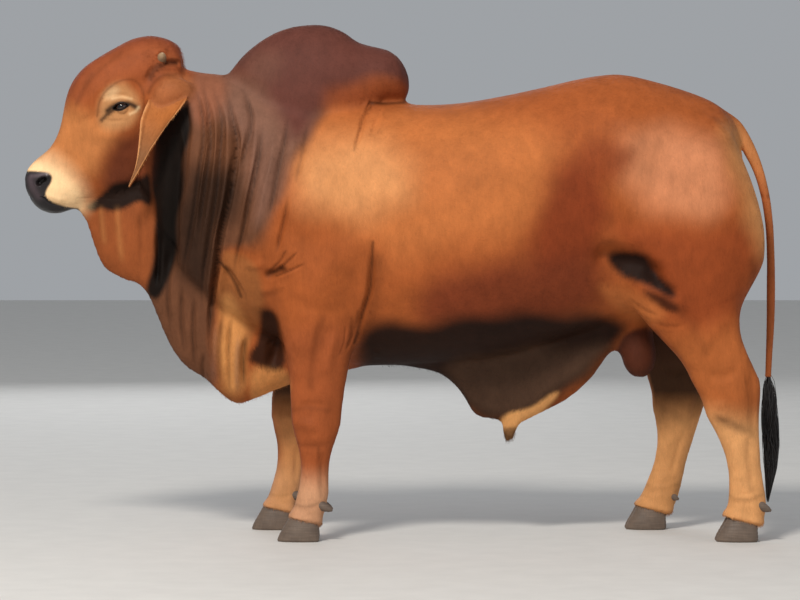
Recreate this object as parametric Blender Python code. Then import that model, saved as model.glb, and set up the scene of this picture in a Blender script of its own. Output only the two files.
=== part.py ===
"""A standing Brahman bull, life size, as a still display model.

The bull faces -X, its left side is -Y, and its soles stand on z = 0. The flesh is lofted through oval
rings, fused, shaped with broad strokes and parted with thin cuts into the parts of the body.
"""

import bmesh
import bpy
import numpy as np

HIP_HEIGHT = 1.50
UNIT = HIP_HEIGHT / 150.0
GAP = 0.0003
FLESH_GRAIN = 0.008
FLESH_TRIANGLES = 8000
FACE_TRIANGLES = 17500
FACE_BACK = -74
# Low x and z, high x and z of the regions whose joins are blended, as seen from the side.
SOFT_REGIONS = [(-46, 66, 14, 141), (2, 66, 130, 162), (60, 52, 130, 90)]
SOFT_EDGE = 8.0
SOFT_ROUNDS = 34
EYE_RADIUS = 2.3
EYE_CENTRE = (-90.2, 10.6, 139.0)

# A ring is the x and z of its top, the x and z of its bottom, its half width, and how high its widest
# place is as a share of its height. Lengths are centimetres on a bull of 150 cm at the hip.
TRUNK = [
    (-54, 118, -52, 76, 12, 0.50),
    (-45, 126, -46, 66, 22, 0.47),
    (-37, 132, -38, 60, 27, 0.47),
    (-28, 138, -29, 56.5, 30, 0.48),
    (-14, 140.5, -15, 55, 32, 0.48),
    (2, 140.2, 2, 55.3, 34, 0.47),
    (18, 140.6, 18, 56, 35.5, 0.46),
    (33, 143, 33, 58, 35, 0.46),
    (47, 146, 47, 62, 32.5, 0.47),
    (60, 149, 60, 66, 30.5, 0.50),
    (71, 150.2, 71, 70, 29.5, 0.54),
    (82, 147.9, 82, 75, 27.5, 0.55),
    (94, 144.3, 94, 82, 24, 0.56),
    (102, 141, 102, 92, 19, 0.58),
    (108, 136, 107, 106, 12, 0.60),
    (111, 130, 110, 116, 5, 0.60),
]
NECK = [
    (-83, 148, -91, 124, 8.5, 0.55),
    (-76, 150.8, -85, 115, 10.5, 0.55),
    (-70.5, 151.6, -81, 106, 12.5, 0.55),
    (-64, 150.6, -77, 95, 15.5, 0.52),
    (-57, 149.8, -71, 84, 18.5, 0.50),
    (-50, 148.2, -63.5, 76, 22, 0.48),
    (-40.5, 145.5, -54, 69, 26, 0.46),
    (-29, 141.5, -42, 64, 29, 0.45),
    (-18, 137, -30, 62, 29, 0.45),
]
HUMP = [
    (-57.5, 147, -53, 138, 3.5, 0.40),
    (-54.5, 152, -50, 132, 7, 0.30),
    (-50.5, 156.6, -47, 129, 9.5, 0.28),
    (-45, 161, -43, 127, 12, 0.28),
    (-38.4, 164.4, -37, 127, 13.5, 0.28),
    (-31, 166, -30.6, 128, 14, 0.28),
    (-23.6, 165.8, -23.4, 130, 13.6, 0.30),
    (-18, 163.6, -18, 132, 12.8, 0.32),
    (-13.4, 160.4, -13.4, 135.5, 11.8, 0.36),
    (-8.5, 159, -8.8, 138.5, 10.8, 0.42),
    (-3.8, 157.8, -4.4, 140.6, 9.8, 0.45),
    (0, 155, -0.6, 140.9, 8, 0.48),
    (2.4, 151, 1.8, 141.6, 5, 0.48),
    (3.4, 147.5, 3.2, 144, 2, 0.50),
]
SKULL = [
    (-121.9, 116.6, -120.6, 109.6, 3.6, 0.50),
    (-121.0, 118.6, -118.6, 106.8, 5.8, 0.50),
    (-119.3, 121, -115.6, 104.9, 7.0, 0.50),
    (-116.9, 123.1, -112, 104.2, 7.4, 0.50),
    (-114.3, 125.5, -108.3, 105, 7.4, 0.50),
    (-112, 129, -104.4, 106.6, 7.3, 0.52),
    (-110.5, 132.8, -99.8, 108, 7.6, 0.56),
    (-109.5, 137.4, -94.6, 108.9, 8.6, 0.62),
    (-108.5, 142.3, -89.4, 110.8, 9.9, 0.66),
    (-106.6, 147.2, -84.8, 113.6, 11.4, 0.66),
    (-103, 151.8, -81.4, 118, 12.3, 0.64),
    (-98, 155.4, -78.4, 123, 12.5, 0.62),
    (-92.4, 158.6, -75.8, 128, 12.2, 0.60),
    (-86.9, 161.4, -73.6, 133.5, 11.6, 0.58),
    (-81, 162.5, -71.6, 138.9, 10.4, 0.56),
    (-75.6, 161.5, -70.2, 144.1, 8.6, 0.56),
    (-72, 159.4, -69.8, 148.7, 6.4, 0.56),
    (-70.6, 156.8, -70.4, 152.4, 3, 0.56),
]
DEWLAP = [
    (-102, 113.5, -106, 106.6, 2.2, 0.60),
    (-95.5, 114.5, -102.6, 102.2, 3.2, 0.60),
    (-89, 115.5, -99.6, 93.2, 4.4, 0.58),
    (-82, 115, -96.4, 86.6, 5.0, 0.56),
    (-77, 110.5, -90.4, 82.9, 5.0, 0.56),
    (-74, 103, -84.6, 80.8, 4.6, 0.60),
    (-72.5, 95.5, -81, 75, 4.6, 0.64),
    (-69, 92, -77.7, 67.0, 5.2, 0.64),
    (-64.5, 89, -74, 59.4, 6.2, 0.64),
    (-60.5, 86, -69.2, 53.9, 7.4, 0.64),
    (-56.5, 82.5, -64, 50.8, 8.4, 0.62),
    (-52.5, 79, -58.6, 45.7, 8.8, 0.60),
    (-48, 75, -53.4, 42.4, 8.6, 0.60),
    (-43, 70, -46.6, 44.2, 8.2, 0.55),
    (-37, 66, -39.6, 47.2, 8.6, 0.55),
    (-28, 64, -30, 50.4, 9.6, 0.55),
    (-16, 64, -17, 53.4, 9.0, 0.55),
    (-4, 64, -4, 56.4, 6.0, 0.55),
]
SHEATH = [
    (-6, 60, -8, 55.5, 3.0, 0.60),
    (6, 60, 4, 54.2, 4.6, 0.60),
    (14, 60.5, 13.5, 51.8, 5.6, 0.60),
    (21, 61, 19.6, 46.0, 6.0, 0.62),
    (27, 61.5, 24.6, 38.6, 5.6, 0.66),
    (33, 62, 30.8, 37.2, 5.2, 0.66),
    (40, 62.5, 38.0, 36.0, 5.0, 0.66),
    (48, 64, 46.6, 39.6, 5.0, 0.66),
    (55, 66, 54.2, 43.4, 5.2, 0.66),
    (62, 69, 61.6, 49.6, 5.6, 0.62),
    (70, 72, 69.4, 59.6, 5.6, 0.60),
    (78, 75, 77, 68, 4.0, 0.60),
]
SHEATH_MOUTH = [
    (36, 44, 43, 43, 3.2, 0.50),
    (33.6, 38, 40.4, 38.6, 2.9, 0.50),
    (33.2, 33.6, 38.2, 34.2, 2.4, 0.50),
    (34.2, 30.2, 37, 30.6, 1.6, 0.50),
]
SCROTUM = [
    (73, 76, 83, 77, 4.2, 0.50),
    (72.6, 69, 82.6, 70, 4.6, 0.50),
    (71.6, 63, 83.4, 63.5, 5.8, 0.50),
    (71.4, 58, 84, 58, 6.4, 0.50),
    (73, 53.6, 82.6, 53.6, 5.2, 0.50),
    (75.6, 51.2, 80, 51.2, 2.4, 0.50),
]
TAIL = [
    (98, 140.4, 97.6, 133, 4.6, 0.5),
    (102.6, 140, 101, 133, 4.2, 0.5),
    (107.2, 137.6, 104.6, 130.8, 3.4, 0.5),
    (110.8, 134.4, 107.6, 128, 2.8, 0.5),
    (114.3, 128.8, 111, 124.6, 2.3, 0.5),
    (117.4, 121.4, 114.2, 119, 2.0, 0.5),
    (120, 112, 116.8, 111, 1.8, 0.5),
    (121.4, 102, 118.4, 101.6, 1.7, 0.5),
    (122, 91, 119, 91, 1.6, 0.5),
    (122.2, 80, 119, 80, 1.6, 0.5),
    (122, 69, 119, 69, 1.4, 0.5),
    (121.4, 59, 118.8, 59, 1.3, 0.5),
    (121, 49, 118.6, 49, 1.1, 0.5),
]
SWITCH_TOP = 51.0
SWITCH_CORE = 0.5
SWITCH_SEED = 14
# Height of each tier's roots and how far out its locks lie, as a share of the brush's outline.
LOCK_TIERS = [(48.5, 0.94), (43.0, 0.74), (37.5, 0.94), (31.0, 0.78)]
LOCKS_A_TIER = 5
LOCK_LENGTH = 19.0
LOCK_BREADTH = 1.2
LOCK_THICKNESS = 0.2
# Height, x of the front and of the back, half width of the switch's bundle of hair.
SWITCH = [
    (53, 118.4, 121.6, 1.4),
    (49, 117.8, 122.2, 1.8),
    (43, 117.3, 123, 2.3),
    (36, 117.5, 123.5, 2.6),
    (29, 117.9, 123.8, 2.5),
    (22, 118.4, 123, 1.9),
    (16, 119, 121.4, 1.1),
    (11, 119.4, 120.2, 0.4),
]

# A limb ring is its height, the x of its front and of its back, the y of its middle, its half width.
FORELEG = [
    (108, -42, -6, 19, 7),
    (98, -43.5, -6, 20.5, 9),
    (87, -43, -9, 21, 9.8),
    (77, -41, -12, 20.6, 9.4),
    (68, -38.8, -13.2, 20.2, 8.6),
    (61, -37, -14.8, 20, 7.8),
    (54.8, -36, -16.2, 19.8, 6.9),
    (48.4, -35.5, -17.4, 19.7, 6.1),
    (42, -35.2, -18.2, 19.6, 5.6),
    (37, -34.8, -18.8, 19.6, 5.5),
    (32.5, -33.7, -20.2, 19.6, 5.2),
    (29, -32.7, -21.4, 19.7, 4.6),
    (24.5, -32.1, -22.3, 19.8, 4.0),
    (19.7, -32.3, -22.6, 19.9, 4.1),
    (15, -33.2, -22.6, 20, 5.0),
    (10.7, -34.4, -23.4, 20, 5.6),
    (6, -36.6, -25.0, 20, 5.8),
    (3, -37.4, -26, 20, 5.6),
]
HINDLEG = [
    (138, 82, 102, 10, 6),
    (130, 77, 107, 13.5, 11),
    (121, 73.5, 111, 15, 14),
    (109, 70, 115.3, 16, 15),
    (97, 68, 117.6, 17, 14.2),
    (88, 68.4, 117, 17.6, 13.2),
    (81, 70, 113.6, 18, 12),
    (75, 73.4, 110.2, 18.4, 10.8),
    (69, 78.4, 109.2, 18.8, 9.4),
    (62.8, 84.4, 110.9, 19.2, 8.0),
    (56.4, 90, 113.6, 19.6, 6.8),
    (50, 93.6, 115.7, 20, 6.0),
    (45, 96.2, 115.6, 20.2, 5.7),
    (40, 97.8, 115.2, 20.3, 5.2),
    (35.6, 100.2, 115.2, 20.4, 4.5),
    (29.3, 103.1, 115.6, 20.5, 4.2),
    (23, 104.7, 116, 20.6, 4.2),
    (16.5, 105, 117, 20.7, 4.9),
    (11.5, 104.6, 117.6, 20.7, 5.6),
    (6.5, 102.6, 116.6, 20.7, 5.8),
    (3, 101.6, 115, 20.7, 5.6),
]
# How far forward the right limbs stand of the left ones, by height.
FORE_STEP = [(110, 0), (80, 0.8), (60, 4.4), (45, 7.4), (25, 8.6), (12, 9.6), (0, 9.8)]
HIND_STEP = [(140, 0), (100, 1.5), (80, 4), (60, 9.5), (50, 12), (38, 15), (26, 19.5), (12, 24.8), (0, 27.4)]

# A stroke is its path of x and z, its lift (a groove where negative) and its half breadth.
NECK_FOLDS = [
    ([(-65.5, 149), (-62.5, 138), (-62.4, 128), (-65.5, 109), (-68.5, 90), (-70, 76)], -1.1, 1.0),
    ([(-60, 146), (-57, 134), (-57.6, 116), (-61.5, 98), (-64, 80)], -1.3, 1.0),
    ([(-55.5, 146), (-52, 132), (-53, 119), (-56.5, 101), (-60, 80), (-61, 64), (-60, 49)], -2.0, 1.2),
    ([(-43.5, 136), (-44.4, 124), (-47.4, 109), (-50.6, 94), (-53, 84)], -1.3, 1.0),
    ([(-35, 138), (-36.6, 127), (-40, 110), (-42, 102)], -1.1, 1.0),
    ([(-34.6, 111), (-36.4, 103), (-39, 93)], -0.8, 0.9),
]
NECK_RIDGES = [
    ([(-64, 146), (-60, 132), (-61, 114), (-65, 94), (-67, 76)], 1.0, 1.3),
    ([(-57.5, 146), (-54.6, 132), (-55.6, 116), (-59, 98), (-62.4, 78), (-64, 58)], 1.2, 1.4),
    ([(-49, 140), (-48, 126), (-50.4, 110), (-53.6, 94), (-56, 76), (-56.5, 56)], 1.2, 1.8),
    ([(-40, 136), (-41, 122), (-44, 108), (-46.6, 96)], 0.8, 1.6),
]
DEWLAP_FOLDS = [
    ([(-92, 108), (-91, 98), (-90, 88)], -0.8, 0.9),
    ([(-84, 106), (-83.5, 96), (-84.4, 86)], -0.9, 0.9),
    ([(-78, 98), (-77.6, 88), (-79.4, 80)], -1.6, 1.1),
    ([(-68, 78), (-68.6, 68), (-68.4, 58)], -0.9, 0.9),
    ([(-53.6, 72), (-55.4, 60), (-55.4, 48)], -0.9, 0.9),
    ([(-49.4, 68), (-50, 58), (-50, 46)], -1.1, 0.9),
]
MUSCLES = [
    ([(-22, 128), (-28, 112), (-36, 98)], 1.6, 7.0),
    ([(-12, 96), (-20, 88), (-26, 80)], 1.4, 6.0),
    ([(-9, 96), (-9.6, 86), (-12, 74), (-14, 66)], -1.6, 1.6),
    ([(-46, 84), (-43, 84.5), (-39, 86), (-35, 89)], -1.5, 1.3),
    ([(-57, 88), (-53.6, 82), (-50, 77), (-47.6, 73)], -1.3, 1.2),
    ([(-10, 142), (-11.4, 137), (-13, 130), (-15, 125)], -1.3, 1.0),
    ([(72, 134), (74, 128)], 1.2, 5.0),
    ([(96, 126), (102, 118), (106, 106)], 1.0, 6.0),
    ([(66, 91), (70, 89.5), (75, 88.5)], -2.6, 4.6),
    ([(79, 86), (82.5, 82.5), (86, 80)], -1.3, 2.6),
    ([(100, 134), (105, 130)], 1.0, 2.6),
    ([(97, 54), (103, 53), (109, 56)], -0.6, 1.6),
    ([(98, 66), (102, 70)], 0.8, 3.0),
    ([(-28, 72), (-30, 64)], 0.9, 4.0),
]
FACE = [
    ([(-103.5, 140), (-99, 145), (-93, 147.4), (-87, 145.4)], 0.9, 1.6),
    ([(-104, 134), (-99, 134)], -0.7, 2.4),
    ([(-84, 146), (-80, 148)], -0.8, 2.4),
    ([(-100, 133), (-94, 131), (-88, 131)], 0.7, 1.8),
    ([(-98, 115), (-90, 116), (-84, 120)], 0.7, 2.6),
    ([(-114.5, 115.4), (-112.6, 116.4)], -1.5, 0.8),
    ([(-118, 114.8), (-116, 113.2)], -0.9, 0.7),
    ([(-117.4, 109.2), (-113.6, 107.8), (-109, 107.2), (-105, 107.8)], -0.8, 0.6),
    ([(-116, 106.4), (-111, 105.6)], 0.4, 0.8),
    ([(-76.4, 153.2), (-73.6, 153.4), (-70, 153)], -1.6, 0.9),
]
LIDS = [
    ([(-94.6, 138.6), (-92.6, 140.6), (-90, 141.5), (-87.6, 141.0), (-85.6, 139.6)], 0.8, 0.7),
    ([(-94.6, 138), (-92.4, 136.6), (-90, 136.2), (-87.4, 136.8), (-85.4, 138.2)], 0.5, 0.6),
]

# Along the ear: the middle of the leaf, half its breadth, the turn of its breadth and the cup's depth.
EAR_SPINE = [(-74, -8.6, 146), (-73.8, -13.4, 142), (-76, -17.0, 134), (-80, -18.2, 125),
             (-83.4, -17.8, 118.6), (-86.6, -17, 113.6)]
EAR_HALF_BREADTH = [3.4, 5.4, 6.2, 5.0, 3.0, 0.5]
EAR_TURN = [0, -8, -35, -60, -72, -76]
EAR_CUP = [2.8, 3.4, 3.2, 2.2, 1.2, 0.2]
EAR_THICKNESS = 0.9

CLAW_SOLE = (-8.2, 5.0, 2.9)
CLAW_TOP = (-3.8, 5.4, 2.6)
CLAW_CLEFT = 0.35
CORONET_FRONT = 8.4
CORONET_BACK = 5.0
DEWCLAW_HEIGHT = 12.5

COLOURS = {
    "red_coat": (0.36, 0.13, 0.05),
    "dark_coat": (0.12, 0.055, 0.035),
    "switch_hair": (0.02, 0.015, 0.015),
    "horn": (0.30, 0.26, 0.22),
    "hoof": (0.20, 0.15, 0.12),
    "eye": (0.02, 0.012, 0.008),
}
ROUGHNESS = {"red_coat": 0.6, "dark_coat": 0.6, "switch_hair": 0.5, "horn": 0.5, "hoof": 0.55, "eye": 0.1}


def clear_scene():
    for old in list(bpy.data.objects):
        bpy.data.objects.remove(old, do_unlink=True)


def finish_of(kind):
    """The material of this kind, made on first use."""
    material = bpy.data.materials.get(kind)
    if material is None:
        material = bpy.data.materials.new(kind)
        material.use_nodes = True
        shader = material.node_tree.nodes["Principled BSDF"]
        shader.inputs["Base Color"].default_value = (*COLOURS[kind], 1.0)
        shader.inputs["Roughness"].default_value = ROUGHNESS[kind]
    return material


def new_object(name, points, faces, kind="red_coat"):
    mesh = bpy.data.meshes.new(name)
    mesh.from_pydata([tuple(p) for p in points], [], faces)
    obj = bpy.data.objects.new(name, mesh)
    bpy.context.collection.objects.link(obj)
    obj.data.materials.append(finish_of(kind))
    face_outwards(obj)
    return obj


def face_outwards(obj):
    bm = bmesh.new()
    bm.from_mesh(obj.data)
    bmesh.ops.recalc_face_normals(bm, faces=bm.faces)
    if bm.calc_volume(signed=True) < 0:
        bmesh.ops.reverse_faces(bm, faces=bm.faces)
    bm.to_mesh(obj.data)
    bm.free()


def eased(rows, steps):
    """Rows of numbers with `steps` smooth rows from each one to the next."""
    rows = np.array(rows, float)
    spans = np.linalg.norm(np.diff(rows[:, :4], axis=0), axis=1) + 1e-6
    at = np.concatenate([[0], np.cumsum(spans)])
    slopes = np.gradient(rows, at, axis=0)
    out = []
    for i, span in enumerate(spans):
        for t in np.arange(steps) / steps:
            a = (1 + 2 * t) * (1 - t) ** 2
            b = t * (1 - t) ** 2
            c = t * t * (3 - 2 * t)
            d = t * t * (t - 1)
            out.append(a * rows[i] + b * span * slopes[i] + c * rows[i + 1] + d * span * slopes[i + 1])
    out.append(rows[-1])
    return np.array(out)


def loft(name, stations, upper=2.2, lower=2.2, steps=4, sides=32, kind="red_coat"):
    """A closed body through oval rings; a lower exponent makes that end of each ring keener."""
    rows = eased([tuple(s) + (0.0,) * (7 - len(s)) for s in stations], steps)
    turn = np.linspace(0, 2 * np.pi, sides, endpoint=False)
    points = []
    for x1, z1, x2, z2, half, share, y in rows:
        top = np.array([x1, y, z1])
        bottom = np.array([x2, y, z2])
        middle = bottom + (top - bottom) * share
        for angle in turn:
            rise, side = np.cos(angle), np.sin(angle)
            power = 2 / (upper if rise > 0 else lower)
            end = top if rise > 0 else bottom
            p = middle + (end - middle) * abs(rise) ** power
            p[1] += half * np.sign(side) * abs(side) ** power
            points.append(p * UNIT)
    faces = []
    for i in range(len(rows) - 1):
        for j in range(sides):
            k = (j + 1) % sides
            faces.append((i * sides + j, i * sides + k, (i + 1) * sides + k, (i + 1) * sides + j))
    faces.append(tuple(range(sides)))
    faces.append(tuple(range((len(rows) - 1) * sides, len(rows) * sides)))
    return new_object(name, points, faces, kind)


def limb_rings(table, side, step=()):
    """The rings of a limb as loft stations; side is -1 for the left and 1 for the right."""
    rings = []
    for z, front, back, y, half in table:
        forward = 0.0
        if step:
            heights, moves = zip(*reversed(step))
            forward = float(np.interp(z, heights, moves))
        rings.append((front - forward, z, back - forward, z, half, 0.5, side * y))
    return rings


def shaped(obj):
    """The object's mesh with its modifiers applied, in place of its own mesh."""
    graph = bpy.context.evaluated_depsgraph_get()
    mesh = bpy.data.meshes.new_from_object(obj.evaluated_get(graph))
    obj.modifiers.clear()
    old = obj.data
    obj.data = mesh
    bpy.data.meshes.remove(old)
    return obj


def resurfaced(obj, grain, smoothing):
    """An even new surface over a body, free of folds that cross."""
    remesh = obj.modifiers.new("fuse", "REMESH")
    remesh.mode = "VOXEL"
    remesh.voxel_size = grain
    smooth = obj.modifiers.new("smooth", "SMOOTH")
    smooth.factor = 0.5
    smooth.iterations = smoothing
    return shaped(obj)


def fused(name, pieces, grain, smoothing):
    """One closed surface around overlapping bodies."""
    bm = bmesh.new()
    for piece in pieces:
        bm.from_mesh(piece.data)
        bpy.data.objects.remove(piece, do_unlink=True)
    mesh = bpy.data.meshes.new(name)
    bm.to_mesh(mesh)
    bm.free()
    body = bpy.data.objects.new(name, mesh)
    bpy.context.collection.objects.link(body)
    body.data.materials.append(finish_of("red_coat"))
    return resurfaced(body, grain, smoothing)


def soften(body):
    """Blends the limbs into the barrel; the face, the feet and the folds of skin keep their edges."""
    group = body.vertex_groups.new(name="barrel")
    for vertex in body.data.vertices:
        x, z = vertex.co.x / UNIT, vertex.co.z / UNIT
        inside = [min(x - x0, x1 - x, z - z0, z1 - z) / SOFT_EDGE for x0, z0, x1, z1 in SOFT_REGIONS]
        if max(inside) > 0:
            group.add([vertex.index], min(max(inside), 1), "REPLACE")
    smooth = body.modifiers.new("soften", "SMOOTH")
    smooth.factor = 0.5
    smooth.iterations = SOFT_ROUNDS
    smooth.vertex_group = group.name
    shaped(body)
    body.vertex_groups.clear()


def path_samples(path, count=24):
    return eased([(x, z, 0, 0) for x, z in path], count)[:, :2] * UNIT


def stroke(obj, path, lift, breadth, limit_y=99.0):
    """Raises or sinks both flanks of a surface along a path seen from the side."""
    mesh = obj.data
    count = len(mesh.vertices)
    points = np.empty(count * 3)
    mesh.vertices.foreach_get("co", points)
    points = points.reshape(-1, 3)
    normals = np.empty(count * 3)
    mesh.vertices.foreach_get("normal", normals)
    normals = normals.reshape(-1, 3)
    line = path_samples(path)
    start, span = line[:-1], np.diff(line, axis=0)
    low = line.min(axis=0) - 3 * breadth * UNIT
    high = line.max(axis=0) + 3 * breadth * UNIT
    side = points[:, [0, 2]]
    near = np.flatnonzero(((side > low) & (side < high)).all(axis=1) & (abs(points[:, 1]) < limit_y * UNIT))
    if not len(near):
        return
    offset = side[near][:, None, :] - start[None]
    along = np.clip((offset * span).sum(axis=2) / (span**2).sum(axis=1), 0, 1)
    apart = np.linalg.norm(offset - along[..., None] * span, axis=2)
    nearest = apart.argmin(axis=1)
    gap = apart[np.arange(len(near)), nearest] / (breadth * UNIT)
    share = (nearest + along[np.arange(len(near)), nearest]) / len(span)
    length = np.linalg.norm(span, axis=1).sum()
    fade = 1.0
    if length > 4 * breadth * UNIT:
        fade = np.clip(np.minimum(share, 1 - share) / 0.15, 0, 1)
    facing = np.clip(abs(normals[near, 1]) * 1.6, 0, 1)
    points[near] += normals[near] * (lift * UNIT * np.exp(-(gap**2)) * fade * facing)[:, None]
    mesh.vertices.foreach_set("co", points.ravel())
    mesh.update()


def boolean(obj, other, operation):
    """Cuts with the exact solver, or with the manifold one where that loses the whole piece."""
    before = obj.data.copy()
    for solver in ("EXACT", "MANIFOLD"):
        cut = obj.modifiers.new("cut", "BOOLEAN")
        cut.operation = operation
        cut.solver = solver
        cut.object = other
        shaped(obj)
        if obj.data.polygons:
            break
        obj.data = before.copy()
    bpy.data.meshes.remove(before)
    return obj


def copy_of(obj, name):
    twin = obj.copy()
    twin.data = obj.data.copy()
    twin.name = name
    bpy.context.collection.objects.link(twin)
    return twin


def removed(obj):
    bpy.data.objects.remove(obj, do_unlink=True)


def largest_only(obj):
    """Keeps the biggest closed surface of a mesh."""
    bm = bmesh.new()
    bm.from_mesh(obj.data)
    left = set(bm.faces)
    islands = []
    while left:
        island, edge = set(), [left.pop()]
        while edge:
            face = edge.pop()
            island.add(face)
            for joined in face.edges:
                fresh = [f for f in joined.link_faces if f in left]
                left.difference_update(fresh)
                edge.extend(fresh)
        islands.append(island)
    islands.sort(key=lambda faces: sum(f.calc_area() for f in faces), reverse=True)
    loose = [f for island in islands[1:] for f in island]
    bmesh.ops.delete(bm, geom=loose, context="FACES")
    bm.to_mesh(obj.data)
    bm.free()
    return obj


def grown(outline, by):
    """A closed outline moved outwards by a distance, corners mitred."""
    points = np.array(outline, float)
    area = np.sum(points[:, 0] * np.roll(points[:, 1], -1) - np.roll(points[:, 0], -1) * points[:, 1])
    edge = np.roll(points, -1, axis=0) - points
    edge /= np.linalg.norm(edge, axis=1)[:, None]
    out = np.stack([edge[:, 1], -edge[:, 0]], axis=1) * np.sign(area)
    before = np.roll(out, 1, axis=0)
    return points + by * (out + before) / (1 + (out * before).sum(axis=1))[:, None]


def slab(outline, low_y, high_y, by=0.0):
    """A cutter: a side outline in centimetres, run across from low_y to high_y and grown by a gap."""
    corners = grown(np.array(outline, float) * UNIT, by)
    count = len(corners)
    points = [(x, low_y * UNIT - by, z) for x, z in corners] + [(x, high_y * UNIT + by, z) for x, z in corners]
    faces = [tuple(range(count)), tuple(range(count, 2 * count))]
    faces += [(i, (i + 1) % count, count + (i + 1) % count, count + i) for i in range(count)]
    cutter = new_object("cutter", points, faces)
    cutter.hide_render = True
    cutter.display_type = "WIRE"
    return cutter


def part_off(body, name, outline, low_y=-60, high_y=60, kind="red_coat"):
    """Parts a piece from the body with a cut as wide as the gap, and names it."""
    piece = copy_of(body, name)
    inner = slab(outline, low_y, high_y)
    boolean(piece, inner, "INTERSECT")
    removed(inner)
    outer = slab(outline, low_y, high_y, GAP)
    boolean(body, outer, "DIFFERENCE")
    removed(outer)
    largest_only(piece)
    piece.data.materials.clear()
    piece.data.materials.append(finish_of(kind))
    return piece


def swollen(obj):
    """A copy grown by the gap, for trimming what touches it."""
    twin = copy_of(obj, "cutter")
    swell = twin.modifiers.new("swell", "DISPLACE")
    swell.strength = GAP * 1.1
    swell.mid_level = 0.0
    shaped(twin)
    twin.hide_render = True
    twin.display_type = "WIRE"
    return twin


def trim(piece, *carriers):
    """Trims a piece so that it meets each of its carriers face to face."""
    for carrier in carriers:
        cutter = swollen(carrier)
        boolean(piece, cutter, "DIFFERENCE")
        removed(cutter)
    return largest_only(piece)


def thinned(obj, triangles, keep_face=False):
    """Fewer triangles where the surface is plain; the face may keep all that it has."""
    bm = bmesh.new()
    bm.from_mesh(obj.data)
    bmesh.ops.triangulate(bm, faces=bm.faces)
    count = len(bm.faces)
    bm.to_mesh(obj.data)
    bm.free()
    thin = obj.modifiers.new("thin", "DECIMATE")
    thin.ratio = min(1.0, triangles / count)
    if keep_face:
        group = obj.vertex_groups.new(name="plain")
        for vertex in obj.data.vertices:
            group.add([vertex.index], float(vertex.co.x > FACE_BACK * UNIT), "REPLACE")
        thin.vertex_group = group.name
    shaped(obj)
    obj.vertex_groups.clear()
    return obj


def flesh():
    """The whole body but for the tail, ears, eyes, horns, claws and scrotum."""
    pieces = [
        loft("trunk", TRUNK, 2.25, 2.15),
        loft("neck", NECK, 1.9, 2.0),
        loft("hump", HUMP, 2.0, 2.4),
        loft("skull", SKULL, 2.5, 2.1),
        loft("dewlap", DEWLAP, 2.2, 1.7),
        loft("sheath", SHEATH, 2.0, 1.8),
        loft("sheath_mouth", SHEATH_MOUTH),
    ]
    for side, fore_step, hind_step in ((-1, (), ()), (1, FORE_STEP, HIND_STEP)):
        pieces.append(loft("foreleg", limb_rings(FORELEG, side, fore_step), 2.2, 2.0))
        pieces.append(loft("hindleg", limb_rings(HINDLEG, side, hind_step), 2.1, 2.0))
    body = fused("flesh", pieces, FLESH_GRAIN, 4)
    soften(body)
    for path, lift, breadth in MUSCLES + NECK_RIDGES + NECK_FOLDS + DEWLAP_FOLDS + FACE + LIDS:
        stroke(body, path, lift, breadth)
    resurfaced(body, FLESH_GRAIN, 1)
    thinned(body, FACE_TRIANGLES)
    return thinned(body, FLESH_TRIANGLES, keep_face=True)


def ear(side):
    """A hanging ear: a leaf with a thick wall, its cup open outwards above and forwards below."""
    lengthwise, across = 10, 6
    spine = eased([(*p, 0) for p in EAR_SPINE], 4)[:, :3]
    at = np.linspace(0, len(EAR_SPINE) - 1, len(spine))
    knots = np.arange(len(EAR_SPINE))
    halves = np.interp(at, knots, EAR_HALF_BREADTH)
    turns = np.radians(np.interp(at, knots, EAR_TURN))
    cups = np.interp(at, knots, EAR_CUP)
    keep = np.linspace(0, len(spine) - 1, lengthwise + 1).round().astype(int)
    tangent = np.gradient(spine, axis=0)
    outer, inner = [], []
    for i in keep:
        breadth = np.array([np.cos(turns[i]), np.sin(turns[i]), 0.0])
        along = tangent[i] / np.linalg.norm(tangent[i])
        open_way = np.cross(along, breadth)
        open_way /= np.linalg.norm(open_way)
        for v in np.linspace(-1, 1, across + 1):
            wall = EAR_THICKNESS * (1 - 0.55 * v * v)
            p = spine[i] + breadth * v * halves[i] + open_way * cups[i] * (v * v - 0.4)
            outer.append(p - open_way * wall / 2)
            inner.append(p + open_way * wall / 2)
    rows, columns = len(keep), across + 1
    count = rows * columns
    faces = []
    for i in range(rows - 1):
        for j in range(columns - 1):
            a = i * columns + j
            faces.append((a, a + 1, a + columns + 1, a + columns))
            faces.append((count + a, count + a + columns, count + a + columns + 1, count + a + 1))
    rim = list(range(columns))
    rim += [i * columns + columns - 1 for i in range(1, rows)]
    rim += [(rows - 1) * columns + j for j in range(columns - 2, -1, -1)]
    rim += [i * columns for i in range(rows - 2, 0, -1)]
    for a, b in zip(rim, rim[1:] + rim[:1]):
        faces.append((a, b, count + b, count + a))
    points = [np.array([p[0], -side * p[1], p[2]]) * UNIT for p in outer + inner]
    leaf = new_object("ear_" + ("left" if side < 0 else "right"), points, faces)
    bm = bmesh.new()
    bm.from_mesh(leaf.data)
    bmesh.ops.triangulate(bm, faces=bm.faces)
    bm.to_mesh(leaf.data)
    bm.free()
    return leaf


def ball(name, centre, radius, kind, turns=2):
    bm = bmesh.new()
    bmesh.ops.create_icosphere(bm, subdivisions=turns, radius=radius * UNIT)
    bmesh.ops.translate(bm, verts=bm.verts, vec=[c * UNIT for c in centre])
    mesh = bpy.data.meshes.new(name)
    bm.to_mesh(mesh)
    bm.free()
    obj = bpy.data.objects.new(name, mesh)
    bpy.context.collection.objects.link(obj)
    obj.data.materials.append(finish_of(kind))
    return obj


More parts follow.
